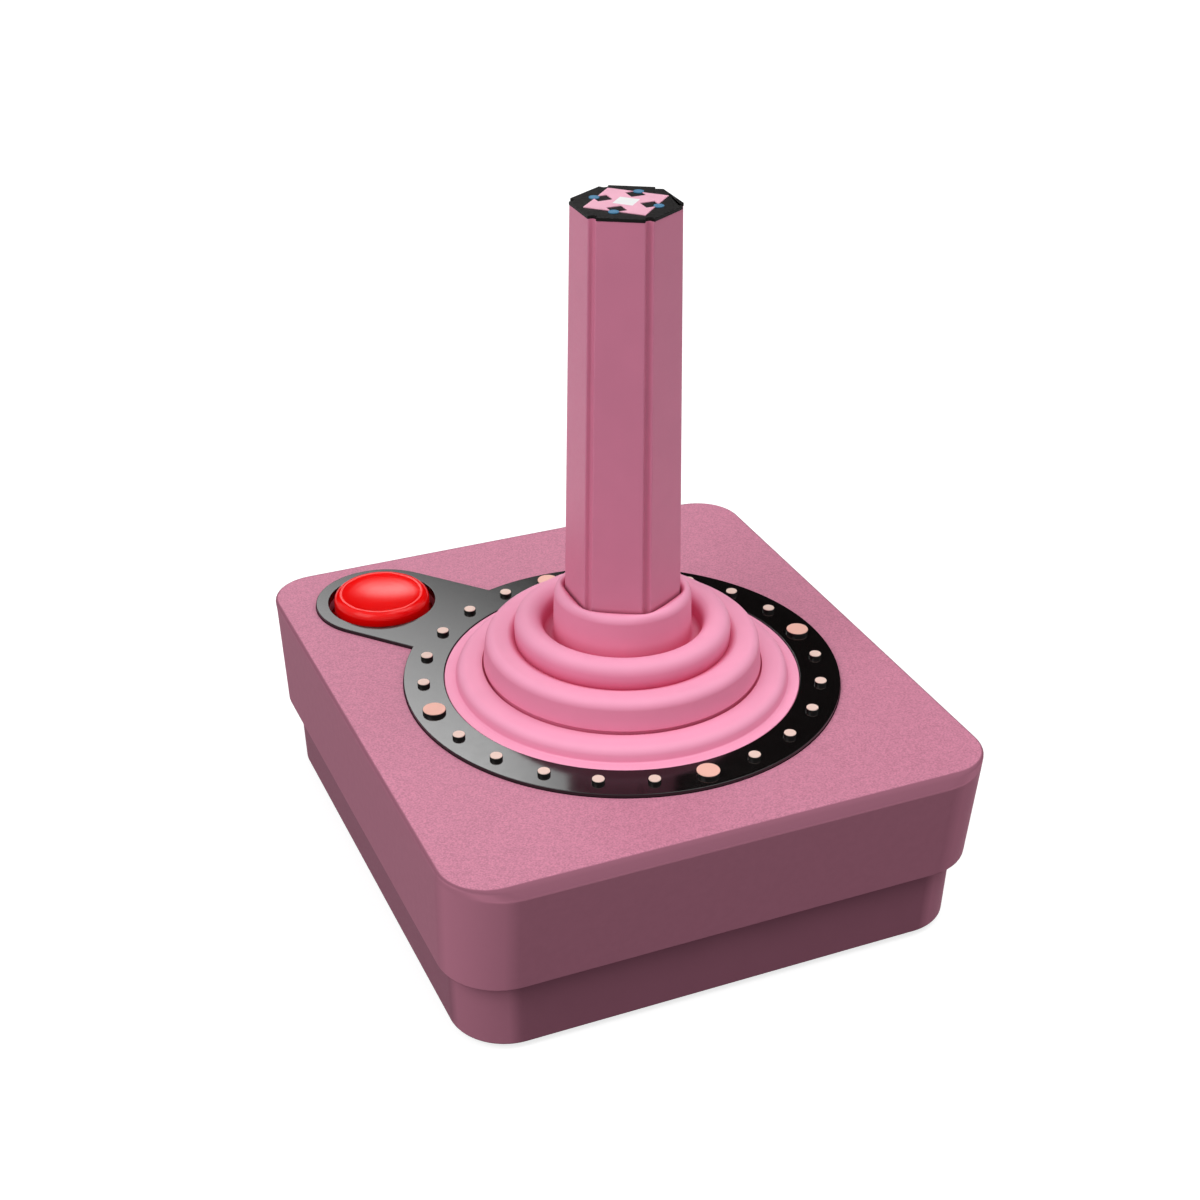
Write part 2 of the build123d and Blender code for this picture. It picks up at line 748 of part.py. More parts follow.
# Snap domes that the actuator and the fire button press
with BuildPart() as snap_dome:
    with BuildSketch(Plane.XZ):
        with BuildLine():
            crown = (0, dome_height)
            hollow = (0, dome_height - dome_sheet)
            rim = (dome_radius, 0)
            inner_rim = (dome_radius - dome_sheet, 0)
            TangentArc(crown, rim, tangent=(1, 0))
            TangentArc(hollow, inner_rim, tangent=(1, 0))
            Line(crown, hollow)
            Line(rim, inner_rim)
        make_face()
    revolve(axis=Axis.Z)
with BuildPart() as direction_domes:
    with Locations(*dome_places):
        add(snap_dome.part)
finish(direction_domes, "direction_domes")
with BuildPart() as fire_dome:
    with Locations(fire_dome_place):
        add(snap_dome.part)
finish(fire_dome, "fire_dome")

# Pin header where the cable would plug onto the board
header_x = stick_x + header_offset
header_y = stick_y + board_width / 2 - header_width / 2 - touch_gap
with BuildPart() as cable_header:
    with BuildSketch(Plane((header_x, header_y, board_top_z))):
        Rectangle(header_length, header_width)
    extrude(amount=header_height)
    shroud = wall / 3
    with BuildSketch(Plane((header_x, header_y, board_top_z + header_height))):
        Rectangle(header_length - 2 * shroud, header_width - 2 * shroud)
    extrude(amount=shroud - header_height, mode=Mode.SUBTRACT)
    with BuildSketch(Plane((header_x, header_y, board_top_z))):
        with GridLocations(header_length / (header_pins + 1), 0, header_pins, 1):
            Rectangle(header_pin_width, header_pin_width)
    extrude(amount=header_height - shroud)
finish(cable_header, "cable_header")

# Housing screws
screw_set(post_places, housing_screw_radius, housing_screw_length, "housing_screws")

# Fire button: a dished cap, a flange that keeps it in, a skirt for the spring and a plunger
web_z = -ceiling - touch_gap
flange_bottom = web_z - button_flange_thickness
skirt_bottom = -skirt_bottom_drop
plunger_bottom = dome_top_z + button_travel + touch_gap - face_z
web_top = web_z + button_flange_thickness
rim_inner = button_radius - 2 * button_rim
with BuildPart() as button_form:
    with BuildSketch(Plane.XZ):
        with BuildLine():
            dish_bottom = (0, button_rise - button_dish)
            dish_edge = (rim_inner, button_rise - button_dish / 2)
            TangentArc(dish_bottom, dish_edge, tangent=(1, 0))
            FilletPolyline(
                dish_edge,
                (rim_inner + button_rim / 2, button_rise),
                (button_radius, button_rise),
                (button_radius, web_z),
                (button_flange_radius, web_z),
                (button_flange_radius, flange_bottom),
                (skirt_radius, flange_bottom),
                (skirt_radius, skirt_bottom),
                (skirt_inner_radius, skirt_bottom),
                (skirt_inner_radius, web_top),
                (plunger_radius, web_top),
                (plunger_radius, plunger_bottom),
                (0, plunger_bottom),
                radius=[button_rim / 2, button_rim, 0, 0, 0, 0, 0, 0, 0, 0, button_rim / 2],
            )
            Line((0, plunger_bottom), dish_bottom)
        make_face()
    revolve(axis=Axis.Z)
with BuildPart() as fire_button:
    with Locations((button_x, button_y, face_z)):
        add(button_form.part)
finish(fire_button, "fire_button")

# Spring between the board and the button's skirt
spring_bottom = board_top_z + spring_wire
spring_height = face_z + skirt_bottom - spring_wire - spring_bottom
with BuildPart() as button_spring:
    with BuildLine() as coil:
        Helix(
            pitch=spring_height / spring_turns,
            height=spring_height,
            radius=spring_radius,
            center=(button_x, button_y, spring_bottom),
        )
    with BuildSketch(Plane(coil.line @ 0, z_dir=coil.line % 0)):
        Circle(spring_wire)
    sweep(is_frenet=True)
finish(button_spring, "button_spring")
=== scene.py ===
# %% [markdown]
# # An arcade joystick in rubber and moulded plastic
# The working model of this joystick comes from CAD, with every piece in its real place.
# In this lesson we dress it: we shape the pieces that catch the eye, such as the rubber boot, the
# six-sided grip and the soft-edged shell, and we give every piece, also the hidden ones, a finish.
# We work as by hand, with primitives, edit mode and modifiers, and each cell prints what it made.

# %% Load the frame
import json
import math

import bmesh
import bpy
from mathutils import Matrix, Vector


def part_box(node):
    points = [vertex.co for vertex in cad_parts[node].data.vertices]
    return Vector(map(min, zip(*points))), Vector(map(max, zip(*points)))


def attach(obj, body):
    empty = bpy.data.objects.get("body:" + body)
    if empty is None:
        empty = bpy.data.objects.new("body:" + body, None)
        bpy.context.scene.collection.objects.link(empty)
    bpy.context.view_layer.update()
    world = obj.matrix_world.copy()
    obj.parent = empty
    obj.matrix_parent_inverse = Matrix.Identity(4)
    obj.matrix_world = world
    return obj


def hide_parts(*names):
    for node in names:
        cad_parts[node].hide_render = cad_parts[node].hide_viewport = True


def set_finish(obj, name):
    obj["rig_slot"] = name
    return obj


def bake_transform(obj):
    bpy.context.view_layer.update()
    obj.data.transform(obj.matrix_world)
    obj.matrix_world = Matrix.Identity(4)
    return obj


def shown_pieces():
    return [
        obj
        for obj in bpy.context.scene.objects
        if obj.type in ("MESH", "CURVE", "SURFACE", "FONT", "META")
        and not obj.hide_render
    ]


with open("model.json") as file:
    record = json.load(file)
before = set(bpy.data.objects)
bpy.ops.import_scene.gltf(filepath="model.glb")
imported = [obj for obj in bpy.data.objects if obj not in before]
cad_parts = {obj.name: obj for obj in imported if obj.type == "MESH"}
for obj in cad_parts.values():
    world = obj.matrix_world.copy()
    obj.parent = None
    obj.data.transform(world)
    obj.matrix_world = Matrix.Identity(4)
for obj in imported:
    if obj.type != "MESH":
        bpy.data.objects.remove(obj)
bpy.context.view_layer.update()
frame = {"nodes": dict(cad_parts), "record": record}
nodes = frame["nodes"]
print("CAD pieces:", len(nodes))

# %% [markdown]
# ## Places that everything else is measured from
# Blender works in metres, and a joystick is easier to think about in millimetres, so one value
# turns one into the other. The top face of the shell, the axis of the stick and the axis of the
# button come from the CAD pieces themselves, so that what we model lands where it belongs.

# %% Read the main places
mm = 0.001
touch = 0.02 * mm


def in_mm(*lengths):
    """Lengths as rounded millimetres, for printing."""
    return [round(length / mm, 2) for length in lengths]


def middle(node):
    """The centre of a CAD piece's box."""
    low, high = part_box(node)
    return (low + high) / 2


face_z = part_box("upper_housing")[1].z
seam_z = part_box("upper_housing")[0].z
stick_at = middle("stick_grip")
button_at = middle("fire_button")
print("top face and seam at", in_mm(face_z, seam_z), "mm")
print("stick at", in_mm(*stick_at.xy), "mm, button at", in_mm(*button_at.xy), "mm")

# %% [markdown]
# ## A few habits of the hand
# An operator acts on whatever is selected, so every step starts with nothing selected and then
# picks what it needs. These small helpers do what the mouse would do: select one piece, select
# corners or edges by their place, soften edges, apply a modifier, and hand a finished piece to its
# moving body.

# %% Select, pick and soften
def only(*pieces):
    """Select these pieces alone, in object mode, with the last one active."""
    if bpy.context.object and bpy.context.object.mode != "OBJECT":
        bpy.ops.object.mode_set(mode="OBJECT")
    bpy.ops.object.select_all(action="DESELECT")
    for piece in pieces:
        piece.select_set(True)
        bpy.context.view_layer.objects.active = piece


def edit(piece):
    """Open one piece in edit mode."""
    only(piece)
    bpy.ops.object.mode_set(mode="EDIT")


def pick(kind, test):
    """Select the vertices or the edges of the edited mesh that pass a test."""
    bpy.ops.mesh.select_mode(type=kind)
    bpy.ops.mesh.select_all(action="DESELECT")
    mesh = bmesh.from_edit_mesh(bpy.context.object.data)
    for part in {"VERT": mesh.verts, "EDGE": mesh.edges}[kind]:
        if test(part):
            part.select = True
    mesh.select_flush_mode()
    bmesh.update_edit_mesh(bpy.context.object.data)


def flat_at(height):
    """A test for edges that lie level at a height."""
    return lambda edge: all(abs(corner.co.z - height) < touch for corner in edge.verts)


def soften(test, softness, steps):
    """Bevel the edges that pass a test into a rounding of so many steps."""
    pick("EDGE", test)
    bpy.ops.mesh.bevel(offset=softness, segments=steps, affect="EDGES")


# %% Finish modelling
def apply_modifier(piece, kind, **settings):
    """Add a modifier, set it up and apply it."""
    only(piece)
    modifier = piece.modifiers.new(kind.title(), kind)
    for name, value in settings.items():
        setattr(modifier, name, value)
    bpy.ops.object.modifier_apply(modifier=modifier.name)


def close_mesh(piece):
    """Merge doubled vertices and point every face outwards."""
    edit(piece)
    bpy.ops.mesh.select_all(action="SELECT")
    bpy.ops.mesh.remove_doubles(threshold=touch / 10)
    bpy.ops.mesh.normals_make_consistent(inside=False)
    only(piece)


def smooth(piece, angle=35):
    """Shade gentle bends smoothly, keep sharp edges, and let the large faces lead the normals."""
    only(piece)
    bpy.ops.object.shade_smooth_by_angle(angle=math.radians(angle))
    apply_modifier(piece, "WEIGHTED_NORMAL", keep_sharp=True, weight=80)


def place(piece, body, slot, *stands_for):
    """Hand a finished piece to its body, with its finish's slot and the CAD nodes it stands for."""
    only(piece)
    bpy.ops.object.transform_apply(location=True, rotation=True, scale=True)
    if body:
        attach(piece, body)
    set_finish(piece, slot)
    if stands_for:
        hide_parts(*stands_for)
    print(piece.name, "has", len(piece.data.polygons), "faces")


# %% [markdown]
# ## Turning round pieces
# The boot and the button are round, as if turned on a lathe. Spin could turn a drawn profile, but
# here we start from a circle and extrude it from ring to ring, scaling each new ring to its radius,
# just as one would with E and S. Every ring then has a known place, so those that should be soft
# are easy to pick and bevel, each by its own amount.

# %% Turn a profile
ring_rounding = 5


def ring_test(centre, radius, height):
    """A test for the edges of one ring."""
    def on_ring(edge):
        return all(
            abs(corner.co.z - height) < touch
            and abs((corner.co.xy - centre.xy).length - radius) < touch
            for corner in edge.verts
        )
    return on_ring


def turned(name, centre, profile, around, closed=False):
    """Turn a profile of (radius, height above the face, softness) into a ring-shaped mesh."""
    only()
    radius, height, _ = profile[0]
    bpy.ops.mesh.primitive_circle_add(
        vertices=around, radius=radius * mm, location=(centre.x, centre.y, face_z + height * mm)
    )
    piece = bpy.context.object
    piece.name = name
    bpy.ops.object.transform_apply(location=True)
    bpy.ops.object.mode_set(mode="EDIT")
    stops = list(profile[1:]) + ([profile[0]] if closed else [])
    for next_radius, next_height, _ in stops:
        rise = (next_height - height) * mm
        bpy.ops.mesh.extrude_region_move(TRANSFORM_OT_translate={"value": (0, 0, rise)})
        grow = next_radius / radius
        ring_centre = (centre.x, centre.y, face_z + next_height * mm)
        bpy.ops.transform.resize(value=(grow, grow, 1), center_override=ring_centre)
        radius, height = next_radius, next_height
    close_mesh(piece)
    edit(piece)
    for ring_radius, ring_height, softness in profile:
        if softness:
            on_ring = ring_test(centre, ring_radius * mm, face_z + ring_height * mm)
            soften(on_ring, softness * mm, ring_rounding)
    only(piece)
    return piece


# %% [markdown]
# ## The upper shell
# On the real joystick the upper shell is one moulding with soft corners. Its front and back edges
# carry a narrow bevel that fades out round the corners, and its sides fall straight to the hem.
# A cube with beveled edges would give every side the same edge. So we draw the outline at three
# heights, each a plane whose corners are rounded with a vertex bevel, bridge one outline to the
# next, and give the skin a wall with Solidify.

# %% Shell outlines
base_width = 88.9
base_depth = 98.6
draft = 0.5
bevel_depth = 1.5
hem_corner = 9.8
shoulder_corner = 10.2
rim_corner = 7.6
corner_steps = 12
shoulder_z = face_z - bevel_depth * mm


def empty_mesh(name):
    """Start an empty piece in edit mode."""
    only()
    bpy.ops.mesh.primitive_plane_add(size=mm)
    piece = bpy.context.object
    piece.name = name
    bpy.ops.object.mode_set(mode="EDIT")
    bpy.ops.mesh.delete(type="VERT")
    return piece


def rounded_outline(width, depth, corner, height):
    """Add a rounded rectangle to the edited mesh, and return its vertices' numbers."""
    bpy.ops.mesh.select_mode(type="VERT")
    mesh = bmesh.from_edit_mesh(bpy.context.object.data)
    already = len(mesh.verts)
    bpy.ops.mesh.select_all(action="DESELECT")
    bpy.ops.mesh.primitive_plane_add(size=1, location=(0, 0, height))
    bpy.ops.transform.resize(value=(width * mm, depth * mm, 1), center_override=(0, 0, height))
    bpy.ops.mesh.bevel(offset=corner * mm, segments=corner_steps, affect="VERTICES")
    bpy.ops.mesh.delete(type="ONLY_FACE")
    mesh = bmesh.from_edit_mesh(bpy.context.object.data)
    return list(range(already, len(mesh.verts)))


def bridge(first, second):
    """Join two outlines with a band of faces."""
    both = set(first) | set(second)
    pick("EDGE", lambda edge: edge.verts[0].index in both and edge.verts[1].index in both)
    bpy.ops.mesh.bridge_edge_loops()


upper_shell = empty_mesh("upper_shell")
hem = rounded_outline(base_width - 2 * draft, base_depth - 2 * draft, hem_corner, seam_z)
shoulder = rounded_outline(base_width, base_depth + 2 * bevel_depth, shoulder_corner, shoulder_z)
rim = rounded_outline(base_width, base_depth, rim_corner, face_z)
bridge(hem, shoulder)
bridge(shoulder, rim)
pick("EDGE", flat_at(face_z))
bpy.ops.mesh.edge_face_add()
print("shell outlines:", len(hem), len(shoulder), len(rim), "vertices")

# %% [markdown]
# The skin becomes a wall, and the edges get the small radii that a mould always leaves: the rim of
# the top face, the shoulder under the bevel, and the hem. A hem edge is picked by the outward
# facing wall beside it, so that the inner edge stays crisp.

# %% Shell wall and soft edges
shell_wall = 2.6
rim_softness = 0.6 * mm
mould_softness = 0.25 * mm


def outer_hem(edge):
    """A test for the hem's outer edge, which has an outward facing wall beside it."""
    return flat_at(seam_z)(edge) and any(
        face.normal.xy.length > 0.5 and face.normal.xy.dot(face.calc_center_median().xy) > 0
        for face in edge.link_faces
    )


close_mesh(upper_shell)
apply_modifier(
    upper_shell, "SOLIDIFY", thickness=shell_wall * mm, offset=-1, use_even_offset=True
)
edit(upper_shell)
soften(flat_at(face_z), rim_softness, 4)
soften(flat_at(shoulder_z), mould_softness, 3)
soften(outer_hem, mould_softness, 3)
only(upper_shell)
print("shell with its wall:", len(upper_shell.data.vertices), "vertices")

# %% [markdown]
# ## The bezel plate
# The black plate is a disc round the stick with a straight-sided tab out to the button. It is one
# thin moulding. It could be a disc and a strip joined by a Boolean, but that leaves seams where
# they meet. So we draw its outline once: the long way round the disc, then round the end of the
# tab. The same outline, a hair larger, is the recess that it lies in.

# %% Bezel outline
bezel_radius = 35.5 * mm
tab_radius = 11.3 * mm
tab_turn = math.radians(-49)
disc_steps = 120
tab_steps = 40


def polar(centre, radius, turn):
    """A point on a circle."""
    return Vector((centre.x + radius * math.cos(turn), centre.y + radius * math.sin(turn)))


def tab_meets_disc(side, grow):
    """The turn, seen from the stick, at which a side of the tab runs into the disc."""
    along = Vector((math.cos(tab_turn), math.sin(tab_turn)))
    across = Vector((-along.y, along.x)) * side
    start = button_at.xy + across * (tab_radius + grow) - stick_at.xy
    reach = bezel_radius + grow
    along_part = start.dot(along)
    run = -along_part - math.sqrt(along_part**2 - start.length_squared + reach**2)
    meet = start + along * run
    return math.atan2(meet.y, meet.x)


def bezel_points(grow=0.0):
    """The plate's outline as points: the long way round the disc, then round the tab's end."""
    first = tab_meets_disc(-1, grow)
    sweep = (tab_meets_disc(1, grow) - first) % math.tau
    disc = [
        polar(stick_at, bezel_radius + grow, first + sweep * step / disc_steps)
        for step in range(disc_steps + 1)
    ]
    half_turn = tab_turn + math.pi / 2
    tab = [
        polar(button_at, tab_radius + grow, half_turn + math.pi * step / tab_steps)
        for step in range(tab_steps + 1)
    ]
    return disc + tab


print("bezel outline:", len(bezel_points()), "points")

# %% [markdown]
# To draw a free outline, a plane is merged into one vertex. This is moved to the first point and
# then extruded from point to point, and the closed ring is filled with a face and pulled up.

# %% Draw an outline and pull it up
def drawn(name, points, height):
    """Draw a closed outline from point to point and fill it with one face."""
    only()
    bpy.ops.mesh.primitive_plane_add(size=mm)
    piece = bpy.context.object
    piece.name = name
    bpy.ops.object.mode_set(mode="EDIT")
    bpy.ops.mesh.select_mode(type="VERT")
    bpy.ops.mesh.merge(type="CENTER")
    bpy.ops.transform.translate(value=(points[0].x, points[0].y, height))
    for here, there in zip(points, points[1:]):
        step = (there.x - here.x, there.y - here.y, 0)
        bpy.ops.mesh.extrude_vertices_move(TRANSFORM_OT_translate={"value": step})
    bpy.ops.mesh.select_all(action="SELECT")
    bpy.ops.mesh.edge_face_add()
    return piece


def pull_up(piece, height):
    """Give a drawn face a thickness and point its faces outwards."""
    bpy.ops.mesh.select_all(action="SELECT")
    bpy.ops.mesh.extrude_region_move(TRANSFORM_OT_translate={"value": (0, 0, height)})
    close_mesh(piece)


# %% [markdown]
# The openings for the boot, the button and the plate itself are cut with cutters. A cutter is a
# closed piece that a Boolean modifier takes away, and that is deleted once it has done its work.
# The shell gets the plate's recess, a seat for the boot's flange, and a hole for the stick and one
# for the button.

# %% Cut the shell
bezel_low = face_z - 0.8 * mm
bezel_opening = 29.0 * mm
button_opening = 9.2 * mm
stick_opening = 14.0 * mm
recess_gap = 0.1 * mm
flange_seat_radius = 33.9 * mm
flange_seat_low = face_z - 1.8 * mm
clear = 5 * mm


def round_cutter(centre, radius, low=face_z - clear):
    """A closed round cutter, from a height up to well clear of the top face."""
    high = face_z + clear
    only()
    bpy.ops.mesh.primitive_cylinder_add(
        vertices=128,
        radius=radius,
        depth=high - low,
        location=(centre.x, centre.y, (low + high) / 2),
    )
    return bpy.context.object


def cut(piece, *cutters):
    """Take cutters away from a piece."""
    for cutter in cutters:
        apply_modifier(piece, "BOOLEAN", operation="DIFFERENCE", object=cutter, solver="EXACT")
        bpy.data.objects.remove(cutter)


recess = drawn("recess_cutter", bezel_points(grow=recess_gap), bezel_low)
pull_up(recess, clear)
cut(
    upper_shell,
    recess,
    round_cutter(stick_at, flange_seat_radius, flange_seat_low),
    round_cutter(stick_at, stick_opening),
    round_cutter(button_at, button_opening),
)
smooth(upper_shell)
place(upper_shell, "housing", "shell_upper", "upper_housing")

# %% [markdown]
# The plate is the same outline at its true size, pulled up to its thickness, with an opening for
# the boot and one for the button. Its edges are only just broken, so that they catch a thin line of
# light; the two openings are a little crisper than the outside.

# %% Bezel plate
bezel_top = face_z + 0.6 * mm
opening_softness = 0.07 * mm
outside_softness = 0.1 * mm


def on_opening(edge):
    """A test for the edges of the two openings."""
    corner = edge.verts[0].co.xy
    stick_side = abs((corner - stick_at.xy).length - bezel_opening) < touch
    return stick_side or abs((corner - button_at.xy).length - button_opening) < touch


def top_edge(edge):
    """A test for the edges between the plate's top and a wall."""
    return flat_at(bezel_top)(edge) and any(abs(face.normal.z) < 0.5 for face in edge.link_faces)


bezel = drawn("bezel", bezel_points(), bezel_low)
pull_up(bezel, bezel_top - bezel_low)
cut(bezel, round_cutter(stick_at, bezel_opening), round_cutter(button_at, button_opening))
edit(bezel)
soften(lambda edge: top_edge(edge) and on_opening(edge), opening_softness, 2)
soften(lambda edge: top_edge(edge) and not on_opening(edge), outside_softness, 3)
only(bezel)
print("bezel plate:", len(bezel.data.vertices), "vertices")

# %% [markdown]
# ## Studs
# A ring of little studs stands on the plate, with a larger one at each quarter. Their sides are the
# plate's own black, and only their tops are light, so each stud is a black drum with a thin light
# disc on it. One drum and one disc are modelled, and copied round the ring.

# %% Stud places
stud_ring = 32.3 * mm
stud_count = 24
quarter = stud_count // 4
stud_places = [
    polar(stick_at, stud_ring, math.tau * step / stud_count) for step in range(stud_count)
]
small_places = [spot for step, spot in enumerate(stud_places) if step % quarter]
large_places = stud_places[::quarter]
print("studs:", len(small_places), "small and", len(large_places), "large")


# %% Copy a drum round the ring
def drum(name, spot, radius, low, high, softness):
    """A short round piece with a soft top edge."""
    only()
    bpy.ops.mesh.primitive_cylinder_add(
        vertices=32, radius=radius, depth=high - low, location=(spot.x, spot.y, (low + high) / 2)
    )
    piece = bpy.context.object
    piece.name = name
    bpy.ops.object.transform_apply(location=True)
    edit(piece)
    soften(flat_at(high), softness, 3)
    only(piece)
    return piece


def ring_of(name, places, radius, low, high, softness):
    """Model one drum and copy it to every place, each copy with its own mesh, as one piece."""
    drums = [drum(name, places[0], radius, low, high, softness)]
    for spot in places[1:]:
        only(drums[0])
        bpy.ops.object.duplicate()
        step = (spot.x - places[0].x, spot.y - places[0].y, 0)
        bpy.ops.transform.translate(value=step)
        drums.append(bpy.context.object)
    only(*drums[1:], drums[0])
    bpy.ops.object.join()
    bpy.ops.object.transform_apply(location=True)
    return drums[0]


# %% Stud drums and tops
drum_top = bezel_top + 0.5 * mm
disc_top = drum_top + 0.12 * mm
disc_inset = 0.06 * mm
drum_softness = 0.04 * mm
disc_softness = 0.05 * mm
for size, places, radius, slot in [
    ("small", small_places, 1.0 * mm, "stud_cream"),
    ("large", large_places, 1.85 * mm, "stud_peach"),
]:
    drums = ring_of(
        f"{size}_drums", places, radius, bezel_top - touch, drum_top, drum_softness
    )
    only(drums, bezel)
    bpy.ops.object.join()
    discs = ring_of(
        f"{size}_stud_tops", places, radius - disc_inset, drum_top, disc_top, disc_softness
    )
    smooth(discs)
    place(discs, "housing", slot, f"{size}_stud_caps")
smooth(bezel)
place(bezel, "housing", "bezel_black", "bezel_plate")

# %% [markdown]
# ## The rubber boot
# The boot seals the stick to the base and lets it lean. It is one rubber moulding: a flange under
# the plate, a low outer ridge, a tall middle ridge, a rounded inner ridge, a deep moat and a collar
# that hugs the grip. In the model it has to bend between the base, the gimbal and the stick, and a
# piece can bend across one joint only. So the boot is three rings that share their seams: the skirt
# and the waist, which get no body here, and the collar, which rides on the stick.

# %% Boot skirt and waist
boot_around = 120
skin = 1.3
seam_radius = 17.35
seam_height = 7.5
crown_radius = 15.25
inner_top = 11.6
flange_edge = [(33.8, -1.8, 0), (33.8, -0.8, 0), (28.9, -0.8, 0), (28.9, 0.5, 0.15)]
outer_ridge = [(27.1, 0.5, 0.3), (26.5, 2.6, 1.1), (22.7, 2.85, 0.08)]
crease = [(22.65, 1.9, 0), (22.2, 1.9, 0), (22.25, 3.2, 0)]
middle_ridge = [(22.5, 3.25, 0.08), (22.0, 8.1, 1.5), (18.2, 8.0, 0.4)]
skirt_seam = [(seam_radius, seam_height, 0), (seam_radius - skin, seam_height - skin, 0)]
underside = [(20.6, 6.7, 0.6), (21.0, 1.0, 0), (25.2, 0.8, 0.6), (25.8, -1.8, 0)]
skirt = turned(
    "boot_skirt",
    stick_at,
    flange_edge + outer_ridge + crease + middle_ridge + skirt_seam + underside,
    boot_around,
    closed=True,
)
waist = turned(
    "boot_waist",
    stick_at,
    [
        (seam_radius, seam_height, 0),
        (17.45, inner_top, 1.95),
        (crown_radius, inner_top, 0),
        (crown_radius, inner_top - skin, 0),
        (16.1, inner_top - skin, 0.4),
        (seam_radius - skin, seam_height - skin, 0),
    ],
    boot_around,
    closed=True,
)
print("boot seam:", seam_radius, "mm from the axis,", seam_height, "mm above the face")

# %% [markdown]
# The collar starts round at the moat and ends as a hexagon against the grip. A circle and a
# hexagon with the same number of vertices are bridged with a few rings between them, and these
# rings are then lifted into a soft bead. The hexagon's corners are smoothed first, because rubber
# doesn't take a sharp one.

# %% Collar
collar_foot = 6.3
foot_slant = 0.1
collar_radius = 11.0
collar_top = 16.5
bead_low = 15.2
bead_slant = 0.4
bead_rings = 7
bead_fullness = 0.6
bead_rise = collar_top - bead_low - bead_slant / 2
grip_apothem = 8.42
foot_z = face_z + collar_foot * mm
bore_z = face_z + (collar_foot - foot_slant) * mm
round_z = face_z + bead_low * mm
hexagon_z = face_z + (bead_low + bead_slant) * mm
collar = turned(
    "boot_collar",
    stick_at,
    [
        (14.0, collar_foot, 0),
        (14.2, inner_top - skin, 0),
        (crown_radius, inner_top - skin, 0),
        (crown_radius, inner_top, 0),
        (13.0, inner_top, 1.9),
        (12.7, 7.6, 0.7),
        (11.15, 7.6, 0.7),
        (collar_radius, bead_low, 0),
    ],
    boot_around,
)
edit(collar)
bpy.ops.mesh.select_mode(type="VERT")
bpy.ops.mesh.select_all(action="DESELECT")
bpy.ops.mesh.primitive_circle_add(
    vertices=6,
    radius=grip_apothem / math.cos(math.pi / 6) * mm,
    location=(stick_at.x, stick_at.y, hexagon_z),
)
bpy.ops.mesh.subdivide(number_cuts=boot_around // 6 - 1)
bpy.ops.mesh.vertices_smooth(factor=0.5, repeat=8)
bpy.ops.mesh.extrude_region_move(TRANSFORM_OT_translate={"value": (0, 0, bore_z - hexagon_z)})
pick("EDGE", lambda edge: flat_at(bore_z)(edge) or flat_at(foot_z)(edge))
bpy.ops.mesh.bridge_edge_loops()
pick("EDGE", lambda edge: flat_at(hexagon_z)(edge) or flat_at(round_z)(edge))
bpy.ops.mesh.bridge_edge_loops(number_cuts=bead_rings, interpolation="LINEAR")
for step in range(1, bead_rings + 1):
    share = step / (bead_rings + 1)
    ring_z = face_z + (bead_low + bead_slant * share) * mm
    pick("VERT", lambda corner: abs(corner.co.z - ring_z) < touch)
    lift = bead_rise * math.sin(math.pi * share) ** bead_fullness
    bpy.ops.transform.translate(value=(0, 0, lift * mm))
only(collar)
print("collar:", len(collar.data.vertices), "vertices")

# %% [markdown]
# The three rings are shaded smoothly, because rubber has no sharp edge that the light could catch.
# Then each ring is handed on with the rubber's slot: the collar goes to the stick, and the skirt
# and the waist get no body.

# %% Finish the boot
for ring in (skirt, waist, collar):
    close_mesh(ring)
    smooth(ring, angle=60)


place(skirt, None, "boot_rubber", "rubber_boot")
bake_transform(skirt)
place(waist, None, "boot_rubber", "rubber_boot")
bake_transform(waist)
place(collar, "stick", "boot_rubber", "rubber_boot")

# %% [markdown]
# ## The grip and its cap
# The grip is a tapered hexagon with a flared groove down each corner. The grooves could be cut with
# a Boolean, but then their soft mouths would be hard to pick. So we draw that outline once, from
# corner to corner, pull it up and draw its top in. Then every upright edge is beveled, so that each
# groove gets a soft mouth and a rounded floor. The cap is the same outline, pulled up only a
# little.

# %% Grooved prism
groove_mouth = 0.74
groove_floor = 0.3
groove_sink = 0.7


def grooved_outline(radius):
    """A hexagon with a flared groove at each corner, as points."""
    brink = radius - groove_mouth / math.tan(math.pi / 3)
    points = []
    for corner in range(6):
        turn = math.pi / 6 + math.tau * corner / 6
        outwards = Vector((math.cos(turn), math.sin(turn)))
        sideways = Vector((-outwards.y, outwards.x))
        for side, reach in [
            (-groove_mouth, brink),
            (-groove_floor, brink - groove_sink),
            (groove_floor, brink - groove_sink),
            (groove_mouth, brink),
        ]:
            points.append(stick_at.xy + (outwards * reach + sideways * side) * mm)
    return points


def upright(edge):
    """A test for edges that climb."""
    return not flat_at(edge.verts[0].co.z)(edge)


def grooved_prism(name, low_radius, low, high_radius, high, softness):
    """A six-sided prism with a groove at each corner, between two heights above the face."""
    piece = drawn(name, grooved_outline(low_radius), face_z + low * mm)
    pull_up(piece, (high - low) * mm)
    edit(piece)
    top = face_z + high * mm
    top_centre = (stick_at.x, stick_at.y, top)
    draw_in = high_radius / low_radius
    pick("VERT", lambda corner: abs(corner.co.z - top) < touch)
    bpy.ops.transform.resize(value=(draw_in, draw_in, 1), center_override=top_centre)
    soften(upright, softness * mm, 3)
    only(piece)
    return piece


print("grip outline:", len(grooved_outline(1.0)), "points")

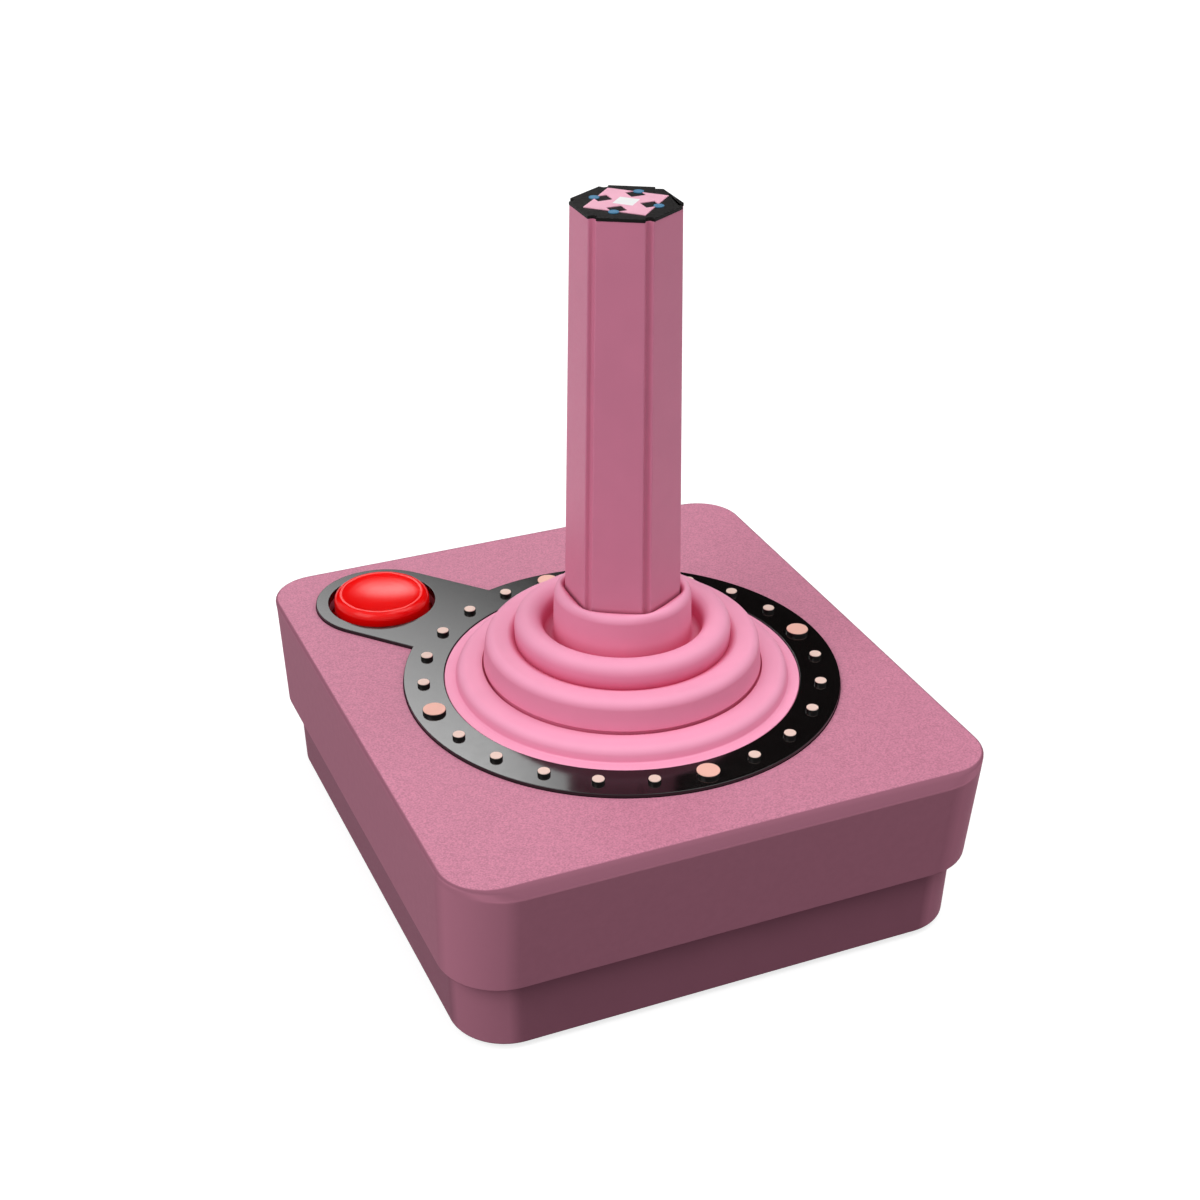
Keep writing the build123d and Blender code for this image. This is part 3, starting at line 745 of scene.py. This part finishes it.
# %% Grip and cap
grip_low = 5.0
grip_top = 79.1
grip_low_radius = 9.832
grip_top_radius = 8.658
groove_softness = 0.22
grip = grooved_prism(
    "grip", grip_low_radius, grip_low, grip_top_radius, grip_top, groove_softness
)
smooth(grip)
place(grip, "stick", "grip_pink", "stick_grip")
cap_low = grip_top + 0.01
cap_top = 79.6
cap_radius = 8.72
cap_softness = 0.1 * mm
cap = grooved_prism("cap", cap_radius, cap_low, cap_radius, cap_top, groove_softness / 3)
edit(cap)
soften(flat_at(face_z + cap_top * mm), cap_softness, 2)
smooth(cap)
place(cap, "stick", "cap_black", "stick_cap")

# %% [markdown]
# ## The fire button
# A red button with a round rim and a shallow dish for the thumb. Its profile is turned in one go:
# the dish, a flange that keeps the button in the base, a skirt that stands round the spring, and a
# long plunger in the middle that reaches down to the switch. The dish is a row of rings whose
# rounded edges run into each other, so that it looks like one curve.

# %% Button
button_around = 96
tip_radius = 0.3
dish_low = 1.5
plunger_low = -20.4
dish = [
    (tip_radius, dish_low, 0),
    (1.5, 1.53, 0.5),
    (3.0, 1.63, 0.5),
    (4.5, 1.81, 0.5),
    (6.0, 2.06, 0.5),
    (6.95, 2.35, 0.35),
]
side_and_flange = [(8.2, 1.95, 1.0), (8.2, -3.5, 0), (10.4, -3.5, 0.2), (10.4, -5.1, 0.2)]
button_skirt = [(6.6, -5.1, 0.3), (6.6, -12.1, 0), (4.9, -12.1, 0), (4.9, -1.9, 0.4)]
plunger = [(2.2, -1.9, 0.4), (2.2, plunger_low, 0.5), (tip_radius, plunger_low, 0)]
button = turned(
    "button", button_at, dish + side_and_flange + button_skirt + plunger, button_around
)
edit(button)
for end in (dish_low, plunger_low):
    pick("EDGE", ring_test(button_at, tip_radius * mm, face_z + end * mm))
    bpy.ops.mesh.edge_face_add()
close_mesh(button)
smooth(button, angle=50)
place(button, "button", "button_red", "fire_button")

# %% [markdown]
# Under the button stands its spring. A small circle is screwed upwards between the board and the
# button, and its two ends are capped. It gets no body, so it stays as it is when the button goes
# down.

# %% Button spring
spring_radius = 5.6 * mm
wire_radius = 0.35 * mm
spring_turns = 5
spring_low, spring_high = (Vector(corner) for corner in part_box("button_spring"))
rise = spring_high.z - spring_low.z - 2 * wire_radius


def end_of_wire(is_upper):
    """A test for the open edges at the wire's upper or lower end."""
    return lambda edge: edge.is_boundary and (edge.verts[0].co.z > rise / 2) == is_upper


coil = empty_mesh("spring_coil")
bpy.ops.mesh.primitive_circle_add(
    vertices=12,
    radius=wire_radius,
    location=(spring_radius, 0, 0),
    rotation=(math.pi / 2, 0, 0),
)
apply_modifier(
    coil,
    "SCREW",
    angle=math.tau,
    screw_offset=rise / spring_turns,
    iterations=spring_turns,
    steps=36,
)
edit(coil)
for is_upper in (False, True):
    pick("EDGE", end_of_wire(is_upper))
    bpy.ops.mesh.edge_face_add()
bpy.ops.mesh.select_all(action="SELECT")
bpy.ops.transform.translate(value=(button_at.x, button_at.y, spring_low.z + wire_radius))
close_mesh(coil)
smooth(coil)
place(coil, None, "steel", "button_spring")
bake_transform(coil)

# %% [markdown]
# ## Finishes
# Every finish is a small node tree. Noise on the Object coordinates varies the colour and the
# roughness a little, as real plastic and rubber do, and a finer noise goes through a Bump node for
# the grain of the mould. What is the same all over a surface is set on the shader itself.

# %% Node helpers
def finish(name, **sockets):
    """A material with one shader and its plain sockets set."""
    material = bpy.data.materials.new(name)
    material.use_nodes = True
    tree = material.node_tree
    shader = tree.nodes["Principled BSDF"]
    for socket, value in sockets.items():
        shader.inputs[socket.replace("_", " ")].default_value = value
    return material, tree, shader


def add_node(tree, kind, links=None, **settings):
    """Add a node, set what it is given, and link its inputs to other nodes' outputs."""
    node = tree.nodes.new(kind)
    for name, value in settings.items():
        if name in node.inputs:
            node.inputs[name].default_value = value
        else:
            setattr(node, name, value)
    for name, output in (links or {}).items():
        tree.links.new(output, node.inputs[name])
    return node


def axes(tree, kind):
    """X, Y and Z of a point's place on the piece (Object) or of the way it looks (Normal)."""
    coordinates = add_node(tree, "ShaderNodeTexCoord").outputs[kind]
    return add_node(tree, "ShaderNodeSeparateXYZ", {"Vector": coordinates}).outputs


def worked_out(tree, operation, *values):
    """A number worked out from others, each a plain number or a node's output."""
    maths = add_node(tree, "ShaderNodeMath", operation=operation)
    for socket, value in zip(maths.inputs, values):
        if isinstance(value, float):
            socket.default_value = value
        else:
            tree.links.new(value, socket)
    return maths.outputs["Value"]


def between(tree, factor, low, high, start=0.3, end=0.7):
    """Carry a factor over to a range of numbers."""
    ranged = add_node(
        tree,
        "ShaderNodeMapRange",
        {"Value": factor},
        **{"From Min": start, "From Max": end, "To Min": low, "To Max": high},
    )
    return ranged.outputs["Result"]


# %% [markdown]
# Colour comes from three sources here. A ramp turns noise into two near tones of one colour. A mix
# lays one colour over another by a share that is worked out from the shape. And a plain function
# makes the darker and lighter tones of a colour, so that each finish is written as one colour.
# A Mix node has sockets for numbers, vectors and colours, so its colour sockets go by their place.

# %% Colour and grain helpers
mix_colours = (6, 7)
mix_result = 2


def shade(colour, amount):
    """A colour made darker or lighter."""
    return tuple(min(channel * amount, 1) for channel in colour)


def two_tones(tree, factor, dark, light, start=0.3, end=0.7):
    """A colour between two tones."""
    ramp = add_node(tree, "ShaderNodeValToRGB", {"Fac": factor})
    for stop, position, tone in zip(ramp.color_ramp.elements, (start, end), (dark, light)):
        stop.position = position
        stop.color = (*tone, 1)
    return ramp.outputs["Color"]


def mixed(tree, share, first, second):
    """The first colour where the share is 0 and the second where it is 1."""
    mixer = add_node(tree, "ShaderNodeMix", {"Factor": share}, data_type="RGBA")
    for socket, colour in zip(mix_colours, (first, second)):
        if isinstance(colour, tuple):
            mixer.inputs[socket].default_value = (*colour, 1)
        else:
            tree.links.new(colour, mixer.inputs[socket])
    return mixer.outputs[mix_result]


def noise(tree, grain, detail=2.0, stretch=(1, 1, 1)):
    """Noise whose blobs are about one grain, in millimetres, across."""
    place_on = add_node(tree, "ShaderNodeTexCoord").outputs["Object"]
    spread = add_node(tree, "ShaderNodeMapping", {"Vector": place_on}, Scale=stretch)
    cloud = add_node(
        tree,
        "ShaderNodeTexNoise",
        {"Vector": spread.outputs["Vector"]},
        Scale=1 / (grain * mm),
        Detail=detail,
    )
    return cloud.outputs["Fac"]


def bump(tree, height, distance, share=None):
    """Grain as a bump, with its depth in millimetres, and faded by a share if one is given."""
    links = {"Height": height, "Strength": share} if share else {"Height": height}
    relief = add_node(tree, "ShaderNodeBump", links, Distance=distance * mm, Strength=1.0)
    return relief.outputs["Normal"]


# %% [markdown]
# Two kinds of painted light go into a plastic's or a rubber's colour here. Painted shade makes a
# crevice darker and deeper in colour, as light that bounces between coloured walls would, and the
# Ambient Occlusion node finds the crevices; a little painted shade can also lie on upright walls. A
# painted highlight makes the upright corners lighter: there the surface looks along X and Y at
# once, so the product of the two is large only on an upright corner.

# %% Painted shade in crevices and painted highlights on corners
def shaded_in_crevices(tree, tint, deep, reach, wall_shade_share):
    """A tint with painted shade in crevices, up to a reach wide, and a little painted shade on
    upright walls.
    """
    # Painted shade: the crevices that the Ambient Occlusion node finds and the upright walls take
    # the shade colour.
    nook = add_node(tree, "ShaderNodeAmbientOcclusion", Distance=reach * mm, samples=12)
    openness = between(tree, nook.outputs["AO"], 0.0, 1.0, start=0.2, end=0.85)
    upwards = axes(tree, "Normal")["Z"]
    top_share = between(tree, upwards, 1 - wall_shade_share, 1.0, start=0.1, end=0.8)
    return mixed(tree, worked_out(tree, "MULTIPLY", openness, top_share), deep, tint)


def corner_highlit(tree, tint, corner_highlight_colour):
    """A tint with a painted highlight on each upright corner."""
    facing = axes(tree, "Normal")
    # Painted highlight: upright corners are made lighter, as light falling on them would.
    product = worked_out(tree, "MULTIPLY", facing["X"], facing["Y"])
    slant = worked_out(tree, "ABSOLUTE", product)
    corner_highlight_share = between(tree, slant, 0.0, 1.0, start=0.08, end=0.28)
    return mixed(tree, corner_highlight_share, tint, corner_highlight_colour)


def moulded(
    name,
    colour,
    rough,
    spread=0.05,
    grain=0.5,
    depth=0.01,
    wear=0.06,
    deep=None,
    reach=1,
    wall_shade_share=0,
    corner_highlight=None,
    **sockets,
):
    """Moulded plastic or rubber: mottled, grained by its mould, painted shade in crevices, a
    painted highlight on each upright corner.
    """
    material, tree, shader = finish(name, **sockets)
    mottle = noise(tree, 14 * grain)
    tint = two_tones(tree, mottle, shade(colour, 1 - spread), shade(colour, 1 + spread))
    # Painted shade in crevices and on upright walls, where a finish gives a shade colour.
    if deep:
        tint = shaded_in_crevices(tree, tint, deep, reach, wall_shade_share)
    # A painted highlight on upright corners, where a finish gives a corner colour.
    if corner_highlight:
        tint = corner_highlit(tree, tint, corner_highlight)
    tree.links.new(tint, shader.inputs["Base Color"])
    fine = noise(tree, grain, detail=3.0)
    tree.links.new(between(tree, fine, rough - wear, rough + wear), shader.inputs["Roughness"])
    tree.links.new(bump(tree, fine, depth), shader.inputs["Normal"])
    return material


# %% [markdown]
# The shell's top face has a sparkling grain, light and dark specks a fraction of a millimetre wide,
# while its walls are nearly smooth and a darker tone, partly from that smoothness and partly
# painted shade, with a painted highlight on their upright corners. One height decides between them:
# the grain fades in just below the top face. The bevel between them is darker still with painted
# shade. It is found by its slant and not by its height, because the left and the right wall reach
# just as high.

# %% Shell finish
grain_fade = 0.05 * mm
wall_grain = 0.03
speck_size = 0.26
mottle_size = 1.3
speck_contrast = 0.18


def grained_shell(name, wall_colour, bevel_shade_colour, face_colour, grain_z):
    """Shell plastic: darker smooth walls, partly painted shade, with a painted highlight on each
    upright corner, a bevel darkened by painted shade, and a light, grained face above a height.
    """
    material, tree, shader = finish(name)
    height = axes(tree, "Object")["Z"]
    grain_share = between(tree, height, wall_grain, 1.0, start=grain_z, end=grain_z + grain_fade)
    upwards = axes(tree, "Normal")["Z"]
    # Painted shade on the bevel, which is found by its slant.
    bevel_shade_share = between(tree, upwards, 0.0, 1.0, start=0.15, end=0.65)
    specks = noise(tree, speck_size)
    mottle = noise(tree, mottle_size, detail=3.0)
    grain = worked_out(tree, "MULTIPLY_ADD", mottle, 0.2, specks)
    dark_speck = shade(face_colour, 1 - speck_contrast)
    light_speck = shade(face_colour, 1 + speck_contrast)
    speckled = two_tones(tree, grain, dark_speck, light_speck, start=0.4, end=0.8)
    calm = two_tones(tree, mottle, shade(wall_colour, 0.98), shade(wall_colour, 1.02))
    # A painted highlight on the walls' upright corners.
    upright_walls = corner_highlit(tree, calm, shade(wall_colour, 1.25))
    walls = mixed(tree, bevel_shade_share, upright_walls, bevel_shade_colour)
    tree.links.new(mixed(tree, grain_share, walls, speckled), shader.inputs["Base Color"])
    gloss = between(tree, grain_share, 0.0, 0.15, start=0.0, end=1.0)
    tree.links.new(gloss, shader.inputs["Specular IOR Level"])
    tree.links.new(between(tree, specks, 0.4, 0.5), shader.inputs["Roughness"])
    tree.links.new(bump(tree, specks, 0.04, grain_share), shader.inputs["Normal"])
    return material


# %% [markdown]
# Inside are steel and a circuit board. Plated steel is a bright metal whose noise is stretched
# upwards, like the faint lines that drawing leaves. The board's lacquer shows the tracks under it,
# which a brick pattern stands in for.

# %% Metal and board finishes
def bright_metal(name, colour, rough):
    """Plated steel with faint drawing lines."""
    material, tree, shader = finish(name, Metallic=1.0)
    lines = noise(tree, 0.6, stretch=(1, 1, 0.1))
    tint = two_tones(tree, lines, shade(colour, 0.9), shade(colour, 1.08))
    tree.links.new(tint, shader.inputs["Base Color"])
    tree.links.new(between(tree, lines, rough - 0.05, rough + 0.08), shader.inputs["Roughness"])
    tree.links.new(bump(tree, lines, 0.003), shader.inputs["Normal"])
    return material


def board(name, colour):
    """A circuit board: green lacquer with slightly lighter tracks under it."""
    material, tree, shader = finish(name, Coat_Weight=0.3)
    position = add_node(tree, "ShaderNodeTexCoord").outputs["Object"]
    tracks = add_node(tree, "ShaderNodeTexBrick", {"Vector": position}, Scale=1.0)
    tracks.inputs["Brick Width"].default_value = 5.0 * mm
    tracks.inputs["Row Height"].default_value = 1.4 * mm
    tracks.inputs["Mortar Size"].default_value = 0.2 * mm
    tracks.inputs["Color1"].default_value = (*colour, 1)
    tracks.inputs["Color2"].default_value = (*shade(colour, 0.92), 1)
    tracks.inputs["Mortar"].default_value = (*shade(colour, 1.7), 1)
    tree.links.new(tracks.outputs["Color"], shader.inputs["Base Color"])
    tree.links.new(between(tree, noise(tree, 0.8), 0.32, 0.42), shader.inputs["Roughness"])
    return material


# %% [markdown]
# Now each slot of the parts list gets its finish. The rubber and the grip have painted shade in
# their crevices, the rubber also on its upright walls, the lower shell has a painted highlight on
# its upright corners, and the glossy pieces have hardly any grain.

# %% Mix the finishes
# The walls are darker than the face, partly for their smooth finish and partly as painted shade.
wall_pink = (0.485, 0.188, 0.268)
# The bevel's darker tone is painted shade.
bevel_shade_pink = (0.3, 0.116, 0.167)
face_pink = (0.59, 0.222, 0.324)
lower_pink = (0.32, 0.122, 0.177)
# The lower shell's lighter corner tone is a painted highlight.
lower_corner_highlight_pink = (0.5, 0.195, 0.277)
grain_z = face_z - 0.06 * mm
finishes = {
    "shell_upper": grained_shell("shell_upper", wall_pink, bevel_shade_pink, face_pink, grain_z),
    "shell_lower": moulded(
        "shell_lower",
        lower_pink,
        0.55,
        spread=0.02,
        corner_highlight=lower_corner_highlight_pink,
        Specular_IOR_Level=0.02,
    ),
    "foot_rubber": moulded("foot_rubber", (0.025, 0.025, 0.025), 0.75),
    "bezel_black": moulded(
        "bezel_black", (0.005, 0.004, 0.004), 0.12, grain=1.5, depth=0.0005, wear=0.02
    ),
    "stud_cream": moulded(
        "stud_cream", (0.84, 0.63, 0.55), 0.5, spread=0.03, grain=0.3, Specular_IOR_Level=0.2
    ),
    "stud_peach": moulded(
        "stud_peach", (0.9, 0.51, 0.42), 0.5, spread=0.03, grain=0.3, Specular_IOR_Level=0.2
    ),
    "boot_rubber": moulded(
        "boot_rubber",
        (0.96, 0.39, 0.57),
        0.55,
        spread=0.02,
        # Painted shade in the boot's crevices and on its upright walls.
        deep=(0.76, 0.15, 0.28),
        reach=2.5,
        wall_shade_share=0.4,
        Specular_IOR_Level=0.2,
    ),
    "inner_plastic": moulded("inner_plastic", (0.7, 0.69, 0.65), 0.45),
    "steel": bright_metal("steel", (0.6, 0.6, 0.61), 0.3),
    "board_green": board("board_green", (0.02, 0.16, 0.06)),
    "grip_pink": moulded(
        "grip_pink",
        (0.76, 0.25, 0.39),
        0.45,
        spread=0.02,
        depth=0.004,
        # Painted shade in the grip's grooves and where it meets the collar.
        deep=(0.38, 0.1, 0.17),
        reach=0.8,
        Specular_IOR_Level=0.28,
    ),
    "cap_black": moulded(
        "cap_black", (0.009, 0.008, 0.008), 0.5, depth=0.004, Specular_IOR_Level=0.08
    ),
    "print_pink": moulded("print_pink", (0.86, 0.42, 0.55), 0.5, spread=0.03, grain=0.3),
    "print_white": moulded("print_white", (0.85, 0.85, 0.85), 0.5, spread=0.02, grain=0.3),
    "print_blue": moulded("print_blue", (0.05, 0.2, 0.36), 0.5, spread=0.04, grain=0.3),
    "button_red": moulded(
        "button_red",
        (0.93, 0.002, 0.002),
        0.2,
        spread=0.03,
        depth=0.001,
        wear=0.03,
        Specular_IOR_Level=0.22,
    ),
}
print("finishes:", ", ".join(finishes))


# %% Dress every piece
def dress(piece, slot):
    """Give a piece one finish all over."""
    piece.data.materials.clear()
    piece.data.materials.append(finishes[slot])


for part in frame["record"]["subparts"]:
    dress(nodes[part["node"]], part["material_slot"])
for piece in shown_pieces():
    if "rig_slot" in piece:
        dress(piece, piece["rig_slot"])

# %% [markdown]
# ## Floor and surround
# The joystick stands on a plain white floor that runs out into white, with its own soft shadow. A
# bright floor would light the joystick from below, so a Light Path node shows the floor and the
# surround bright to the camera and in reflections, and lets them give off much less light. This
# set is large, so it is measured in metres.

# %% Shaders that only look bright
floor_white = 0.46
floor_glow = 0.755
floor_dim = 0.1
ambient_level = 0.5


def blank_tree(holder):
    """The emptied node tree of a material or of the world."""
    holder.use_nodes = True
    holder.node_tree.nodes.clear()
    return holder.node_tree


def two_faced(tree, real, shown):
    """One shader that gives light, and another that the camera and reflections see instead."""
    rays = add_node(tree, "ShaderNodeLightPath").outputs
    seen = worked_out(tree, "MAXIMUM", rays["Is Camera Ray"], rays["Is Glossy Ray"])
    seen = worked_out(tree, "MAXIMUM", seen, rays["Is Transmission Ray"])
    links = {0: seen, 1: real.outputs[0], 2: shown.outputs[0]}
    return add_node(tree, "ShaderNodeMixShader", links).outputs[0]


def grey(level):
    """A grey as a colour socket takes it."""
    return (level, level, level, 1)


# %% Floor
only()
bpy.ops.mesh.primitive_plane_add(size=8)
floor = bpy.context.object
floor.name = "floor"
ground = bpy.data.materials.new("floor_white")
tree = blank_tree(ground)
matt = add_node(tree, "ShaderNodeBsdfDiffuse", Color=grey(floor_white))
glow = add_node(tree, "ShaderNodeEmission", Color=grey(1), Strength=floor_glow)
bright = add_node(tree, "ShaderNodeAddShader", {0: matt.outputs[0], 1: glow.outputs[0]})
dim = add_node(tree, "ShaderNodeBsdfDiffuse", Color=grey(floor_dim))
add_node(tree, "ShaderNodeOutputMaterial", {"Surface": two_faced(tree, dim, bright)})
floor.data.materials.append(ground)
print("floor:", round(floor.dimensions.x, 1), "m wide")

# %% Surround
world = bpy.data.worlds.new("surround")
bpy.context.scene.world = world
tree = blank_tree(world)
white = add_node(tree, "ShaderNodeBackground", Color=grey(1), Strength=1.0)
ambient = add_node(tree, "ShaderNodeBackground", Color=grey(1), Strength=ambient_level)
add_node(tree, "ShaderNodeOutputWorld", {"Surface": two_faced(tree, ambient, white)})
print("surround lights at", ambient_level, "and shows white")

# %% [markdown]
# ## Soft boxes
# Most of the light comes from the even surround. Two large soft boxes add some direction: one high
# on the left, which models the round forms, and one higher still on the right, which opens the
# shadows. They are much larger than the joystick, so that shadows stay soft, and they hang far
# enough away to light all of it evenly.

# %% Hang the soft boxes
box_distance = 1.3
box_size = 0.8


def around(azimuth, elevation, distance):
    """A place seen from the joystick: an azimuth clockwise from the back, and an elevation."""
    turn, rise = math.radians(azimuth), math.radians(elevation)
    level = distance * math.cos(rise)
    height = face_z + distance * math.sin(rise)
    return Vector((level * math.sin(turn), level * math.cos(turn), height))


def soft_box(name, azimuth, elevation, power):
    """A large square lamp that faces the joystick."""
    lamp = bpy.data.lights.new(name, "AREA")
    lamp.shape = "RECTANGLE"
    lamp.size = box_size
    lamp.size_y = box_size
    lamp.energy = power
    holder = bpy.data.objects.new(name, lamp)
    bpy.context.scene.collection.objects.link(holder)
    holder.visible_camera = False
    holder.location = around(azimuth, elevation, box_distance)
    to_joystick = Vector((0, 0, face_z)) - holder.location
    holder.rotation_euler = to_joystick.to_track_quat("-Z", "Y").to_euler()
    print(name, "at", in_mm(*holder.location), "mm,", power, "W")


soft_box("key_box", -107, 45, 6.6)
soft_box("top_box", 115, 65, 5.8)

# %% [markdown]
# ## Reflection card
# Glossy black shows whatever stands round it. One tall card behind the joystick is seen only in
# reflections. A slanted patch of it glows like a window and the rest is black, so that the left of
# the plate shines grey and its right stays black. The patch is a product of four fades, two along
# the card's X, one along its Y and one on the slant between them.

# %% Reflection card
card_turn = 22
card_distance = 1.2
card_height = 1.25
card_size = (3.4, 2.6, 1)
card_glow = 7.5
card_slant = -0.4
only()
bpy.ops.mesh.primitive_plane_add(size=1)
card = bpy.context.object
card.name = "reflection_card"
bpy.ops.transform.resize(value=card_size)
bpy.ops.object.transform_apply(scale=True)
card.location = around(card_turn, 0, card_distance)
card.location.z = card_height
card.rotation_euler = (math.radians(90), 0, math.radians(-card_turn))
card.visible_camera = False
card.visible_shadow = False
card.visible_diffuse = False
glow_card = bpy.data.materials.new("reflection_glow")
tree = blank_tree(glow_card)
spot = axes(tree, "Object")
slanted = worked_out(tree, "MULTIPLY_ADD", spot["X"], card_slant, spot["Y"])
glow = between(tree, spot["X"], card_glow, 0.0, start=-0.07, end=0.06)
for across, dark, lit in [
    (spot["X"], -0.5, -0.3),
    (slanted, -0.58, -0.302),
    (spot["Y"], 0.1, -0.28),
]:
    fade = between(tree, across, 0.0, 1.0, start=dark, end=lit)
    glow = worked_out(tree, "MULTIPLY", glow, fade)
lit_card = add_node(tree, "ShaderNodeEmission", {"Strength": glow})
add_node(tree, "ShaderNodeOutputMaterial", {"Surface": lit_card.outputs["Emission"]})
card.data.materials.append(glow_card)
print("card:", in_mm(*card.dimensions.xy), "mm at", in_mm(*card.location), "mm")

# %% [markdown]
# ## Camera
# The camera looks down on the front left corner. Its angles, lens and distance were found by
# fitting the outlines of the base, so they aren't round numbers, and it is turned a hair about its
# own line of sight. Its three axes are worked out one by one, because that keeps the roll plain to
# see.

# %% Camera
view_azimuth = math.radians(-23.309)
view_elevation = math.radians(29.264)
view_roll = math.radians(0.186)
view_distance = 353.9
look_at = Vector((7.61, 20.98, 32.1)) * mm
lens_data = bpy.data.cameras.new("camera")
lens_data.lens = 61.06
lens_data.sensor_width = 36
lens_data.clip_start = 0.01
camera = bpy.data.objects.new("camera", lens_data)
bpy.context.scene.collection.objects.link(camera)
bpy.context.scene.camera = camera
back = Vector(
    (
        math.sin(view_azimuth) * math.cos(view_elevation),
        -math.cos(view_azimuth) * math.cos(view_elevation),
        math.sin(view_elevation),
    )
)
level_right = (-back).cross(Vector((0, 0, 1))).normalized()
level_up = level_right.cross(-back)
right = math.cos(view_roll) * level_right + math.sin(view_roll) * level_up
up = math.cos(view_roll) * level_up - math.sin(view_roll) * level_right
eye = look_at + back * view_distance * mm
camera.matrix_world = Matrix((right, up, back)).transposed().to_4x4()
camera.location = eye
bpy.context.scene.view_settings.view_transform = "Standard"
print("camera at", in_mm(*eye), "mm")
